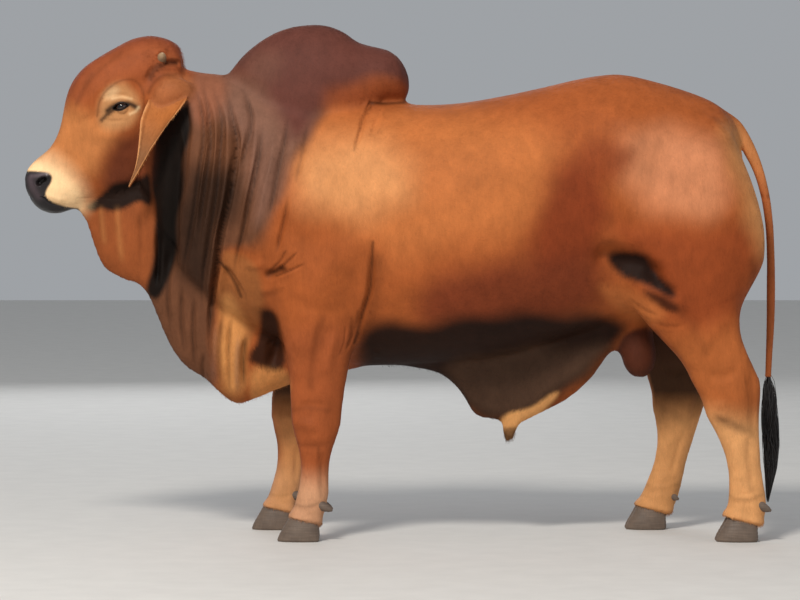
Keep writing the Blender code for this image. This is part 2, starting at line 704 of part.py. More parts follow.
def cone_along(name, base, tip, base_radius, tip_radius, kind, sides=8):
    """A short stub from base to tip with a rounded end."""
    base, tip = np.array(base, float), np.array(tip, float)
    axis = (tip - base) / np.linalg.norm(tip - base)
    across = np.cross(axis, (0, 0, 1.0) if abs(axis[2]) < 0.9 else (1.0, 0, 0))
    across /= np.linalg.norm(across)
    third = np.cross(axis, across)
    points, faces = [], []
    shares = [(0, 1.0), (0.5, 0.88), (0.88, 0.5)]
    for share, size in shares:
        centre = base + (tip - base) * share
        radius = tip_radius + (base_radius - tip_radius) * size
        for angle in np.linspace(0, 2 * np.pi, sides, endpoint=False):
            points.append((centre + radius * (np.cos(angle) * across + np.sin(angle) * third)) * UNIT)
    points.append(tip * UNIT)
    for i in range(len(shares) - 1):
        for j in range(sides):
            k = (j + 1) % sides
            faces.append((i * sides + j, i * sides + k, (i + 1) * sides + k, (i + 1) * sides + j))
    last = (len(shares) - 1) * sides
    faces += [(last + j, last + (j + 1) % sides, len(points) - 1) for j in range(sides)]
    faces.append(tuple(range(sides)))
    return new_object(name, points, faces, kind)


def claw(name, foot_x, foot_y, inner):
    """One toe of a cloven foot, flat below; inner is the side that faces its fellow, -1 or 1."""
    half = CLAW_SOLE[2]
    middle = foot_y - inner * (CLAW_CLEFT + half)
    rings = []
    for z, share in ((0, 1.0), (0.8, 1.02), (4, 0.6), (10, 0.0)):
        front = foot_x + CLAW_TOP[0] + (CLAW_SOLE[0] - CLAW_TOP[0]) * share
        back = foot_x + CLAW_TOP[1] + (CLAW_SOLE[1] - CLAW_TOP[1]) * share
        width = CLAW_TOP[2] + (CLAW_SOLE[2] - CLAW_TOP[2]) * min(share, 1)
        rings.append((front, z, back, z, width, 0.42, middle + inner * (half - width)))
    return loft(name, rings, 1.9, 2.6, steps=1, sides=16, kind="hoof")


def foot_outline(foot_x):
    return [
        (foot_x - 20, -5),
        (foot_x + 14, -5),
        (foot_x + 14, CORONET_BACK - 0.6),
        (foot_x + 6, CORONET_BACK),
        (foot_x - 5, CORONET_FRONT),
        (foot_x - 20, CORONET_FRONT + 0.6),
    ]


def feet(body):
    """Cuts the legs off at the coronets and sets two claws and two dewclaws on each."""
    made = []
    places = [
        ("fore_left", -31.0, -20.0),
        ("fore_right", -31.0 - 9.7, 20.0),
        ("hind_left", 109.2, -20.7),
        ("hind_right", 109.2 - 26.4, 20.7),
    ]
    for foot, x, y in places:
        below = slab(foot_outline(x), y - 12, y + 12, GAP)
        boolean(body, below, "DIFFERENCE")
        removed(below)
        for toe, inner in (("outer", -np.sign(y)), ("inner", np.sign(y))):
            piece = claw(f"claw_{foot}_{toe}", x, y, inner)
            keep = slab(foot_outline(x), y - 12, y + 12)
            boolean(piece, keep, "INTERSECT")
            removed(keep)
            made.append(piece)
            base = (x + 3.6, y - inner * 2.4, DEWCLAW_HEIGHT)
            tip = (x + 9.4, y - inner * 3.2, DEWCLAW_HEIGHT - 2.6)
            made.append(cone_along(f"dewclaw_{foot}_{toe}", base, tip, 1.7, 0.7, "hoof"))
    return made


def switch_at(z):
    """The middle, half depth and half width of the switch's outline at a height."""
    heights = [row[0] for row in reversed(SWITCH)]
    front, back, half = (
        float(np.interp(z, heights, [row[i] for row in reversed(SWITCH)])) for i in (1, 2, 3)
    )
    return (front + back) / 2, (back - front) / 2, half


def lock(root_z, length, turn, drift, breadth, reach):
    """A flat, tapered lock that leaves the core at root_z and lies down along the brush to its tip."""
    points = []
    shares = [0, 0.16, 0.5]
    for share in shares + [1.0]:
        z = root_z - length * share
        middle, depth, half = switch_at(z)
        angle = turn + drift * share
        out = np.interp(share, [0, 0.16, 0.5, 1.0], [0.15, 0.8 * reach, reach, 0.96 * reach])
        outward = np.array([np.cos(angle) * depth, np.sin(angle) * half, 0.0])
        place = np.array([middle, 0.0, z]) + outward * out
        if share == 1.0:
            points.append(place * UNIT)
            break
        outward /= np.linalg.norm(outward)
        along = np.array([-outward[1], outward[0], 0.0])
        narrow = min(np.interp(share, [0, 0.5], [0.75, 1.0]), 0.9 * depth / breadth)
        for side, rise in ((-1, 0), (0, 1), (1, 0), (0, -1)):
            points.append((place + along * side * breadth * narrow + outward * rise * LOCK_THICKNESS) * UNIT)
    faces = [(0, 1, 2, 3)]
    for i in range(len(shares) - 1):
        faces += [(4 * i + j, 4 * i + (j + 1) % 4, 4 * i + 4 + (j + 1) % 4, 4 * i + 4 + j) for j in range(4)]
    last = 4 * (len(shares) - 1)
    faces += [(last + j, last + (j + 1) % 4, last + 4) for j in range(4)]
    return new_object("lock", points, faces, "switch_hair")


def switch():
    """The brush of the tail: a slim core under tiers of overlapping locks, fused into one body."""
    draw = np.random.default_rng(SWITCH_SEED)
    rings = []
    for z, *_ in SWITCH[:-1]:
        middle, depth, half = switch_at(z)
        share = 1.0 if z > SWITCH_TOP - 3 else SWITCH_CORE
        rings.append((middle - depth * share, z, middle + depth * share, z, half * share, 0.5, 0.0))
    core = loft("tail_switch", rings, 2.0, 2.0, steps=1, sides=10, kind="switch_hair")
    locks = bpy.data.collections.new("locks")
    for tier, (height, reach) in enumerate(LOCK_TIERS):
        for i in range(LOCKS_A_TIER):
            turn = 2 * np.pi * (i + 0.5 * (tier % 2) + draw.uniform(-0.1, 0.1)) / LOCKS_A_TIER
            root_z = height + draw.uniform(-1.2, 1.2)
            length = min(LOCK_LENGTH * draw.uniform(0.86, 1.12), root_z - SWITCH[-1][0] - 0.3)
            piece = lock(root_z, length, turn, draw.uniform(-0.25, 0.25),
                         LOCK_BREADTH * draw.uniform(0.9, 1.1), reach)
            bpy.context.collection.objects.unlink(piece)
            locks.objects.link(piece)
    bpy.context.scene.collection.children.link(locks)
    join = core.modifiers.new("join", "BOOLEAN")
    join.operation = "UNION"
    join.operand_type = "COLLECTION"
    join.collection = locks
    join.solver = "MANIFOLD"
    shaped(core)
    for piece in list(locks.objects):
        removed(piece)
    bpy.data.collections.remove(locks)
    return largest_only(core)


def build():
    clear_scene()
    body = flesh()
    foot_pieces = feet(body)
    dewlap = part_off(body, "dewlap", [
        (-115, 96), (-106.5, 108.6), (-97, 111.2), (-88, 111.6), (-83.6, 107), (-78.6, 97), (-71, 84),
        (-62, 75), (-53, 68), (-45, 62.5), (-36, 57.6), (-34, 40), (-60, 34), (-100, 60),
    ], -11, 11)
    head = part_off(body, "head", [
        (-130, 96), (-130, 175), (-66, 175), (-66, 155.2), (-73.4, 153.6), (-68, 148), (-68, 137),
        (-74, 126), (-80, 115), (-87, 104), (-95, 96),
    ])
    hump = part_off(body, "hump", [
        (-66, 147), (-54, 143), (-46, 138.6), (-12, 138.6), (-7, 141.2), (3, 140.9), (12, 142),
        (12, 176), (-66, 176),
    ], kind="dark_coat")
    sheath = part_off(body, "sheath", [
        (-10, 20), (-10, 54.8), (2, 55.6), (20, 56.8), (36, 59), (50, 63), (62, 67), (72, 70.4),
        (74, 60), (60, 20),
    ], -7.5, 7.5)
    legs = []
    for side, word in ((-1, "left"), (1, "right")):
        near, far = sorted((side * 7.6, side * 45))
        legs.append(part_off(body, f"foreleg_{word}", [
            (-56, 1), (-56, 66), (-44, 72), (-14, 66), (-8, 60), (-8, 1),
        ], near, far))
        near, far = sorted((side * 5.0, side * 45))
        legs.append(part_off(body, f"hindleg_{word}", [
            (56, 1), (66, 66), (68, 76), (90, 80), (124, 84), (124, 1),
        ], near, far))
    neck = part_off(body, "neck", [
        (-96, 96), (-96, 160), (-56, 160), (-51, 140), (-46, 110), (-44, 84), (-40, 52), (-60, 52),
    ], kind="dark_coat")
    body.name = "torso"
    largest_only(body)
    for side, word in ((-1, "left"), (1, "right")):
        x, y, z = EYE_CENTRE
        eye = ball(f"eye_{word}", (x, side * y, z), EYE_RADIUS, "eye")
        socket = swollen(eye)
        boolean(head, socket, "DIFFERENCE")
        removed(socket)
        horn = cone_along(f"horn_stub_{word}", (-77.4, side * 6.6, 153.6), (-76.2, side * 11.6, 156.2),
                          2.0, 0.7, "horn")
        trim(horn, head)
        trim(ear(side), head, neck)
    largest_only(head)
    tail = loft("tail", TAIL, steps=2, sides=10)
    trim(tail, body)
    lower = slab([(110, -5), (130, -5), (130, SWITCH_TOP), (110, SWITCH_TOP)], -10, 10, GAP)
    boolean(tail, lower, "DIFFERENCE")
    removed(lower)
    brush = switch()
    above = slab([(110, SWITCH_TOP), (130, SWITCH_TOP), (130, 80), (110, 80)], -10, 10)
    boolean(brush, above, "DIFFERENCE")
    removed(above)
    scrotum = loft("scrotum", SCROTUM, steps=2, sides=16)
    trim(scrotum, body, sheath, *legs)
    for piece in foot_pieces:
        if piece.name.startswith("dewclaw"):
            leg_name = piece.name.replace("dewclaw_", "").rsplit("_", 1)[0]
            kind, word = leg_name.split("_")
            trim(piece, bpy.data.objects[f"{kind}leg_{word}"])
    for obj in bpy.data.objects:
        obj.data.shade_smooth()
    centre()


def centre():
    """Puts the middle of the whole bull's box over the origin."""
    low = np.full(3, np.inf)
    high = -low
    for obj in bpy.data.objects:
        points = np.array([v.co for v in obj.data.vertices])
        low = np.minimum(low, points.min(axis=0))
        high = np.maximum(high, points.max(axis=0))
    middle = (low + high) / 2
    for obj in bpy.data.objects:
        for vertex in obj.data.vertices:
            vertex.co.x -= middle[0]
            vertex.co.y -= middle[1]
    print("box in metres", (high - low).round(3), "moved by", -middle.round(4))


build()
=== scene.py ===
import math

import bmesh
import bpy
import numpy as np
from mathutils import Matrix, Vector
from mathutils.bvhtree import BVHTree
from mathutils.interpolate import poly_3d_calc
from mathutils.kdtree import KDTree


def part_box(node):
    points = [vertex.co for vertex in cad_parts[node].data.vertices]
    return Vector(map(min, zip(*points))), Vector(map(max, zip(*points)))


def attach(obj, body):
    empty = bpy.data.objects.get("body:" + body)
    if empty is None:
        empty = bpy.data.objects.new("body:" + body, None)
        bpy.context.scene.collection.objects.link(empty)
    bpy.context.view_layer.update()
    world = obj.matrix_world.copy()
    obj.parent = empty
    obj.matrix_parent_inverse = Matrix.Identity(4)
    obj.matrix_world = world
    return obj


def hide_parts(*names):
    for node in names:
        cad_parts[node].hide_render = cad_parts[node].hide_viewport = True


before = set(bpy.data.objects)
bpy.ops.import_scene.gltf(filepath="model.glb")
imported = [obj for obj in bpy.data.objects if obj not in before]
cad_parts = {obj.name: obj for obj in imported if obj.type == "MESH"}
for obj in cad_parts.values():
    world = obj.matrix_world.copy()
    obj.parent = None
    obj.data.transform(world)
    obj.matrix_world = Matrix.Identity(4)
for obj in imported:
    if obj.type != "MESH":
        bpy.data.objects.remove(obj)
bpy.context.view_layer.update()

# Sizes are centimetres on a bull of 150 cm at the hip, facing -X, with its left side at -Y.
cm = 0.01
socket = {"x": -89.4, "y": 10.6, "z": 138.9, "radius": 2.25, "cornea": 0.05, "corneaReach": 0.5}
eyeLow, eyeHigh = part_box("eye_left")
shift = np.array([(eyeLow.x + eyeHigh.x) / 2 + 90.2 * cm, (eyeLow.y + eyeHigh.y) / 2 + 10.6 * cm, 0.0])

# A ring is the x and z of its top, of its bottom, its half width, and the share of its height
# where it is widest.
trunk = {"upper": 2.25, "lower": 2.15, "rings": [
    (-54, 118, -52, 76, 12, 0.50), (-45, 126, -46, 66, 22, 0.47), (-37, 132, -38, 60, 27, 0.47),
    (-28, 138, -29, 56.5, 30, 0.48), (-14, 140.5, -15, 55, 32, 0.48), (2, 140.2, 2, 55.3, 34, 0.47),
    (18, 140.6, 18, 56, 35.5, 0.46), (33, 143, 33, 58, 35, 0.46), (47, 146, 47, 62, 32.5, 0.47),
    (60, 149, 60, 66, 30.5, 0.50), (71, 150.2, 71, 70, 29.5, 0.54), (82, 147.9, 82, 75, 27.5, 0.55),
    (94, 144.3, 94, 82, 24, 0.56), (102, 141, 102, 92, 19, 0.58), (108, 136, 107, 106, 12, 0.60),
    (111, 130, 110, 116, 5, 0.60),
]}
neck = {"upper": 1.9, "lower": 2.0, "rings": [
    (-83, 148, -91, 124, 8.5, 0.55), (-76, 150.8, -85, 115, 10.5, 0.55),
    (-70.5, 151.6, -81, 106, 12.5, 0.55), (-64, 150.6, -77, 95, 15.5, 0.52),
    (-57, 149.8, -71, 84, 18.5, 0.50), (-50, 148.2, -63.5, 76, 22, 0.48),
    (-40.5, 145.5, -54, 69, 26, 0.46), (-29, 141.5, -42, 64, 29, 0.45), (-18, 137, -30, 62, 29, 0.45),
]}
hump = {"upper": 2.0, "lower": 2.4, "rings": [
    (-57.5, 147, -53, 138, 3.5, 0.40), (-54.5, 152, -50, 132, 7, 0.30), (-50.5, 156.6, -47, 129, 9.5, 0.28),
    (-45, 161, -43, 127, 12, 0.28), (-38.4, 164.4, -37, 127, 13.5, 0.28), (-31, 166, -30.6, 128, 14, 0.28),
    (-23.6, 165.8, -23.4, 130, 13.6, 0.30), (-18, 163.6, -18, 132, 12.8, 0.32),
    (-13.4, 160.4, -13.4, 135.5, 11.8, 0.36), (-8.5, 159, -8.8, 138.5, 10.8, 0.42),
    (-3.8, 157.8, -4.4, 140.6, 9.8, 0.45), (0, 155, -0.6, 140.9, 8, 0.48), (2.4, 151, 1.8, 141.6, 5, 0.48),
    (3.4, 147.5, 3.2, 144, 2, 0.50),
]}
skull = {"upper": 2.5, "lower": 2.1, "rings": [
    (-121.9, 116.6, -120.6, 109.6, 3.6, 0.50), (-121.0, 118.6, -118.6, 106.8, 5.8, 0.50),
    (-119.3, 121, -115.6, 104.9, 7.0, 0.50), (-116.9, 123.1, -112, 104.2, 7.4, 0.50),
    (-114.3, 125.5, -108.3, 105, 7.4, 0.50), (-112, 129, -104.4, 106.6, 7.3, 0.52),
    (-110.5, 132.8, -99.8, 108, 7.6, 0.56), (-109.5, 137.4, -94.6, 108.9, 8.6, 0.62),
    (-108.5, 142.3, -89.4, 110.8, 9.9, 0.66), (-106.6, 147.2, -84.8, 113.6, 11.4, 0.66),
    (-103, 151.8, -81.4, 118, 12.3, 0.64), (-98, 155.4, -78.4, 123, 12.5, 0.62),
    (-92.4, 158.6, -75.8, 128, 12.2, 0.60), (-86.9, 161.4, -73.6, 133.5, 11.6, 0.58),
    (-81, 162.5, -71.6, 138.9, 10.4, 0.56), (-75.6, 161.5, -70.2, 144.1, 8.6, 0.56),
    (-72, 159.4, -69.8, 148.7, 6.4, 0.56), (-70.6, 156.8, -70.4, 152.4, 3, 0.56),
]}
dewlap = {"upper": 2.2, "lower": 1.7, "rings": [
    (-102, 113.5, -106, 106.6, 2.2, 0.60), (-95.5, 114.5, -102.6, 102.2, 3.2, 0.60),
    (-89, 115.5, -99.6, 93.2, 4.4, 0.58), (-82, 115, -96.4, 86.6, 5.0, 0.56),
    (-77, 110.5, -90.4, 82.9, 5.0, 0.56), (-74, 103, -84.6, 80.8, 4.6, 0.60),
    (-72.5, 95.5, -81, 75, 4.6, 0.64), (-69, 92, -77.7, 67.0, 5.2, 0.64), (-64.5, 89, -74, 59.4, 6.2, 0.64),
    (-60.5, 86, -69.2, 53.9, 7.4, 0.64), (-56.5, 82.5, -64, 50.8, 8.4, 0.62),
    (-52.5, 79, -58.6, 45.7, 8.8, 0.60), (-48, 75, -53.4, 42.4, 8.6, 0.60), (-43, 70, -46.6, 44.2, 8.2, 0.55),
    (-37, 66, -39.6, 47.2, 8.6, 0.55), (-28, 64, -30, 50.4, 9.6, 0.55), (-16, 64, -17, 53.4, 9.0, 0.55),
    (-4, 64, -4, 56.4, 6.0, 0.55),
]}
sheath = {"upper": 2.0, "lower": 1.8, "rings": [
    (-6, 60, -8, 55.5, 3.0, 0.60), (6, 60, 4, 54.2, 4.6, 0.60), (14, 60.5, 13.5, 51.8, 5.6, 0.60),
    (21, 61, 19.6, 46.0, 6.0, 0.62), (27, 61.5, 24.6, 38.6, 5.6, 0.66), (33, 62, 30.8, 37.2, 5.2, 0.66),
    (40, 62.5, 38.0, 36.0, 5.0, 0.66), (48, 64, 46.6, 39.6, 5.0, 0.66), (55, 66, 54.2, 43.4, 5.2, 0.66),
    (62, 69, 61.6, 49.6, 5.6, 0.62), (70, 72, 69.4, 59.6, 5.6, 0.60), (78, 75, 77, 68, 4.0, 0.60),
]}
sheathMouth = {"upper": 2.2, "lower": 2.2, "rings": [
    (36, 44, 43, 43, 3.2, 0.50), (33.6, 38, 40.4, 38.6, 2.9, 0.50), (33.2, 33.6, 38.2, 34.2, 2.4, 0.50),
    (34.2, 30.2, 37, 30.6, 1.6, 0.50),
]}
scrotum = {"upper": 2.2, "lower": 2.2, "rings": [
    (73, 76, 83, 77, 4.2, 0.50), (72.6, 69, 82.6, 70, 4.6, 0.50), (71.6, 63, 83.4, 63.5, 5.8, 0.50),
    (71.4, 58, 84, 58, 6.4, 0.50), (73, 53.6, 82.6, 53.6, 5.2, 0.50), (75.6, 51.2, 80, 51.2, 2.4, 0.50),
]}
earRoot = {"upper": 2.1, "lower": 2.1, "rings": [
    (-80.6, 145.4, -80.6, 139.8, 1.6, 0.5), (-78.2, 148.2, -78.6, 136.8, 3.8, 0.5),
    (-74, 149.2, -74.6, 136.4, 4.9, 0.5), (-70, 148.2, -70.4, 138.8, 4.2, 0.5),
    (-66.6, 146.2, -66.6, 142.2, 1.8, 0.5),
], "y": 10.2}
tail = {"upper": 2.1, "lower": 2.1, "rings": [
    (98, 140.4, 97.6, 133, 4.6, 0.5), (102.6, 140, 101, 133, 4.2, 0.5), (107.2, 137.6, 104.6, 130.8, 3.4, 0.5),
    (110.8, 134.4, 107.6, 128, 2.8, 0.5), (114.3, 128.8, 111, 124.6, 2.3, 0.5),
    (117.4, 121.4, 114.2, 119, 2.0, 0.5), (120, 112, 116.8, 111, 1.8, 0.5), (121.4, 102, 118.4, 101.6, 1.7, 0.5),
    (122, 91, 119, 91, 1.6, 0.5), (122.2, 80, 119, 80, 1.6, 0.5), (122, 69, 119, 69, 1.4, 0.5),
    (121.4, 59, 118.8, 59, 1.3, 0.5), (121, 51.4, 118.6, 51.4, 1.1, 0.5),
]}
# A limb ring is its height, the x of its front and back, the y of its middle, its half width;
# step is how far forward the right limb stands of the left one, by height.
foreleg = {"upper": 2.2, "lower": 2.0, "rings": [
    (108, -42, -6, 19, 7), (98, -43.5, -6, 20.5, 9), (87, -43, -9, 21, 9.8), (77, -41, -12, 20.6, 9.4),
    (68, -38.8, -13.2, 20.2, 8.6), (61, -37, -14.8, 20, 7.8), (54.8, -36, -16.2, 19.8, 6.9),
    (48.4, -35.5, -17.4, 19.7, 6.1), (42, -35.2, -18.2, 19.6, 5.6), (37, -34.8, -18.8, 19.6, 5.5),
    (32.5, -33.7, -20.2, 19.6, 5.2), (29, -32.7, -21.4, 19.7, 4.6), (24.5, -32.1, -22.3, 19.8, 4.0),
    (19.7, -32.3, -22.6, 19.9, 4.1), (15, -33.2, -22.6, 20, 5.0), (10.7, -34.4, -23.4, 20, 5.6),
    (6, -36.6, -25.0, 20, 5.8), (3, -37.4, -26, 20, 5.6),
], "step": [(110, 0), (80, 0.8), (60, 4.4), (45, 7.4), (25, 8.6), (12, 9.6), (0, 9.8)]}
hindleg = {"upper": 2.1, "lower": 2.0, "rings": [
    (138, 82, 102, 10, 6), (130, 77, 107, 13.5, 11), (121, 73.5, 111, 15, 14), (109, 70, 115.3, 16, 15),
    (97, 68, 117.6, 17, 14.2), (88, 68.4, 117, 17.6, 13.2), (81, 70, 113.6, 18, 12),
    (75, 73.4, 110.2, 18.4, 10.8), (69, 78.4, 109.2, 18.8, 9.4), (62.8, 84.4, 110.9, 19.2, 8.0),
    (56.4, 90, 113.6, 19.6, 6.8), (50, 93.6, 115.7, 20, 6.0), (45, 96.2, 115.6, 20.2, 5.7),
    (40, 97.8, 115.2, 20.3, 5.2), (35.6, 100.2, 115.2, 20.4, 4.5), (29.3, 103.1, 115.6, 20.5, 4.2),
    (23, 104.7, 116, 20.6, 4.2), (16.5, 105, 117, 20.7, 4.9), (11.5, 104.6, 117.6, 20.7, 5.6),
    (6.5, 102.6, 116.6, 20.7, 5.8), (3, 101.6, 115, 20.7, 5.6),
], "step": [(140, 0), (100, 1.5), (80, 4), (60, 9.5), (50, 12), (38, 15), (26, 19.5), (12, 24.8), (0, 27.4)]}

skin = {
    "grain": 0.95,            # size of the first even mesh
    "coatDepth": 0.25,        # how far the skin lies inside the solids
    "smoothing": 5,
    "relief": 1.35,           # how strongly the folds of neck and dewlap stand out
    "firm": 1.6,              # how soon a fold comes to its full lift where the surface turns to its view
    "fade": 0.3,              # the share of a long fold over which each end runs out
    # Low x and z, high x and z of the joins that are blended, and the rounds of blending.
    "joins": [(-46, 66, 14, 141, 40), (2, 66, 130, 162, 40), (60, 52, 130, 90, 40), (-14, 40, 80, 70, 10)],
    "joinEdge": 8.0,
    # Regions that get a finer mesh, as low and high x, y and z, in turn.
    "finer": [
        ((-130, -36, 38), (-4, 36, 175)),
        ((-126, -16, 100), (-84, 16, 146)),
        ((-95.5, -16, 134.6), (-84.6, 16, 144)),
        ((-54, -32, 2), (-18, 32, 13)),
        ((70, -32, 2), (124, 32, 13)),
    ],
}


def eased(rows, steps):
    # Smooth rows of numbers, with `steps` of them from each given row to the next.
    rows = np.array(rows, float)
    spans = np.linalg.norm(np.diff(rows[:, :4], axis=0), axis=1) + 1e-6
    at = np.concatenate([[0], np.cumsum(spans)])
    slopes = np.gradient(rows, at, axis=0)
    out = []
    for i, span in enumerate(spans):
        for t in np.arange(steps) / steps:
            a, b = (1 + 2 * t) * (1 - t) ** 2, t * (1 - t) ** 2
            c, d = t * t * (3 - 2 * t), t * t * (t - 1)
            out.append(a * rows[i] + b * span * slopes[i] + c * rows[i + 1] + d * span * slopes[i + 1])
    out.append(rows[-1])
    return np.array(out)


def tubeFaces(rows, sides):
    # The faces of a closed tube, ring by ring, and of its two ends.
    faces = []
    for i in range(rows - 1):
        for j in range(sides):
            k = (j + 1) % sides
            faces.append((i * sides + j, i * sides + k, (i + 1) * sides + k, (i + 1) * sides + j))
    faces.append(tuple(range(sides))[::-1])
    faces.append(tuple(range((rows - 1) * sides, rows * sides)))
    return faces


def loft(rings, upper, lower, steps=6, sides=48):
    # Points and faces of a closed body through oval rings.
    rows = eased([tuple(ring) + (0.0,) * (7 - len(ring)) for ring in rings], steps)
    turn = np.linspace(0, 2 * np.pi, sides, endpoint=False)
    rise, side = np.cos(turn), np.sin(turn)
    power = np.where(rise > 0, 2 / upper, 2 / lower)
    points = []
    for x1, z1, x2, z2, half, share, y in rows:
        top, bottom = np.array([x1, y, z1]), np.array([x2, y, z2])
        middle = bottom + (top - bottom) * share
        end = np.where((rise > 0)[:, None], top, bottom)
        ring = middle + (end - middle) * (abs(rise) ** power)[:, None]
        ring[:, 1] += half * np.sign(side) * abs(side) ** power
        points.append(ring)
    return np.concatenate(points), tubeFaces(len(rows), sides)


def limbRings(limb, side):
    rings = []
    heights, moves = zip(*reversed(limb["step"]))
    for z, front, back, y, half in limb["rings"]:
        forward = float(np.interp(z, heights, moves)) if side > 0 else 0.0
        rings.append((front - forward, z, back - forward, z, half, 0.5, side * y))
    return rings


def inScene(name, data):
    made = bpy.data.objects.new(name, data)
    bpy.context.scene.collection.objects.link(made)
    return made


def newObject(name, points, faces):
    # An object from points in centimetres, with its faces turned outwards.
    mesh = bpy.data.meshes.new(name)
    mesh.from_pydata((np.array(points) * cm + shift).tolist(), [], faces)
    bm = bmesh.new()
    bm.from_mesh(mesh)
    bmesh.ops.recalc_face_normals(bm, faces=bm.faces)
    if bm.calc_volume(signed=True) < 0:
        bmesh.ops.reverse_faces(bm, faces=bm.faces)
    bm.to_mesh(mesh)
    bm.free()
    return inScene(name, mesh)


def applied(made):
    # Gives the object the mesh that its modifiers make.
    graph = bpy.context.evaluated_depsgraph_get()
    mesh = bpy.data.meshes.new_from_object(made.evaluated_get(graph))
    made.modifiers.clear()
    old = made.data
    made.data = mesh
    bpy.data.meshes.remove(old)
    return made


def remeshed(made, grain):
    # Gives the object an even mesh of this size.
    remesh = made.modifiers.new("even", "REMESH")
    remesh.mode = "VOXEL"
    remesh.voxel_size = grain * cm
    return applied(made)


def joined(name, shapes):
    points, faces, count = [], [], 0
    for part, partFaces in shapes:
        points.append(part)
        faces += [tuple(i + count for i in face) for face in partFaces]
        count += len(part)
    return newObject(name, np.concatenate(points), faces)


def places(mesh):
    flat = np.empty(len(mesh.vertices) * 3)
    mesh.vertices.foreach_get("co", flat)
    return (flat.reshape(-1, 3) - shift) / cm


def unit(rows):
    # Each row of numbers brought to length one.
    return rows / np.linalg.norm(rows, axis=1)[:, None]


def soft(share):
    # Eases a share from 0 to 1 at both ends.
    return share * share * (3 - 2 * share)


def setPlaces(mesh, points):
    mesh.vertices.foreach_set("co", (points * cm + shift).ravel())
    mesh.update()


def normals(mesh):
    flat = np.empty(len(mesh.vertices) * 3)
    mesh.vertices.foreach_get("normal", flat)
    return flat.reshape(-1, 3)


def edgesOf(mesh):
    flat = np.empty(len(mesh.edges) * 2, int)
    mesh.edges.foreach_get("vertices", flat)
    return flat.reshape(-1, 2)


def smoothed(points, edges, weight, rounds):
    # Moves each point towards the middle of its neighbours, by its weight.
    count = len(points)
    both = np.concatenate([edges, edges[:, ::-1]])
    share = np.bincount(both[:, 0], minlength=count).clip(1)
    for _ in range(rounds):
        middle = np.stack([np.bincount(both[:, 0], column[both[:, 1]], count) for column in points.T], 1)
        points = points + (middle / share[:, None] - points) * weight[:, None]
    return points


def boxed(points, low, high):
    # Which points lie between two corners.
    return ((points > low) & (points < high)).all(axis=1)


def insideBoxes(points, boxes, edge):
    # How far inside any of the side-view boxes each point lies, from 0 at its border to 1.
    depth = np.zeros(len(points))
    for x0, z0, x1, z1 in boxes:
        x, z = points[:, 0], points[:, 2]
        near = np.minimum(np.minimum(x - x0, x1 - x), np.minimum(z - z0, z1 - z)) / edge
        depth = np.maximum(depth, near.clip(0, 1))
    return depth


def pathPoints(path, count=16):
    return eased([tuple(p[:2]) + (0, 0) for p in path], count)[:, :2]


def nearPath(flat, path, reach):
    # Which points of a flat view lie near a path, how far from it, and how far along.
    line = pathPoints(path)
    start, span = line[:-1], np.diff(line, axis=0)
    low, high = line.min(axis=0) - reach, line.max(axis=0) + reach
    near = np.flatnonzero(boxed(flat, low, high))
    offset = flat[near][:, None, :] - start[None]
    along = ((offset * span).sum(axis=2) / ((span**2).sum(axis=1) + 1e-9)).clip(0, 1)
    apart = np.linalg.norm(offset - along[..., None] * span, axis=2)
    best = apart.argmin(axis=1)
    rows = np.arange(len(near))
    length = np.linalg.norm(span, axis=1).sum()
    return near, apart[rows, best], (best + along[rows, best]) / len(span), length


# The two axes that each view shows, and the one that it looks along.
views = {"side": (0, 2, 1), "front": (1, 2, 0), "above": (0, 1, 2)}


def stepOf(points):
    # How far forward the right limbs stand of the left ones, at each point.
    forward = np.zeros(len(points))
    for limb, low, high in ((foreleg, -60, 20), (hindleg, 60, 130)):
        heights, moves = zip(*reversed(limb["step"]))
        fits = (points[:, 0] > low) & (points[:, 0] < high)
        forward[fits] = np.interp(points[fits, 2], heights, moves)
    start, blend = 7, 5
    return forward * ((points[:, 1] - start) / blend).clip(0, 1)


def flatView(points, view):
    first, second, _ = views[view]
    flat = points[:, [first, second]].copy()
    if view == "side":
        flat[:, 0] += stepOf(points)
    if view == "front":
        flat[:, 0] = abs(flat[:, 0])
    if view == "above":
        flat[:, 1] = abs(flat[:, 1])
    return flat


def modelled(mesh, strokes, strength=1.0):
    # Raises or sinks the surface along paths: (path, lift, half breadth, view).
    points, facing = places(mesh), normals(mesh)
    lifts = np.zeros(len(points))
    for path, lift, breadth, *rest in strokes:
        view = rest[0] if rest else "side"
        near, apart, share, length = nearPath(flatView(points, view), path, 3 * breadth)
        if not len(near):
            continue
        fade = 1.0
        if length > 4 * breadth:
            fade = soft((np.minimum(share, 1 - share) / skin["fade"]).clip(0, 1))
        turned = (abs(facing[near, views[view][2]]) * skin["firm"]).clip(0, 1)
        lifts[near] += lift * np.exp(-((apart / breadth) ** 2)) * fade * turned
    spared = 1 - values(mesh, "onLeaf")
    setPlaces(mesh, points + facing * (lifts * spared * strength)[:, None])


# The ear: the middle of the leaf, half its breadth, the turn of its breadth in degrees, the cup's depth.
ear = {
    "spine": [(-74.4, -6.6, 142.6), (-74.4, -12.8, 141.4), (-77.4, -16.4, 134), (-80.6, -17.8, 125.6),
              (-83.6, -17.6, 118.8), (-86.8, -17, 113.4)],
    "halfBreadth": [5.6, 6.6, 6.0, 4.4, 2.4, 0.4],
    "turn": [0, -8, -34, -58, -70, -74],
    "cup": [0.2, 0.8, 2.6, 2.0, 1.1, 0.2],
    "wall": 0.46,
    "along": 60,
    "across": 26,
}


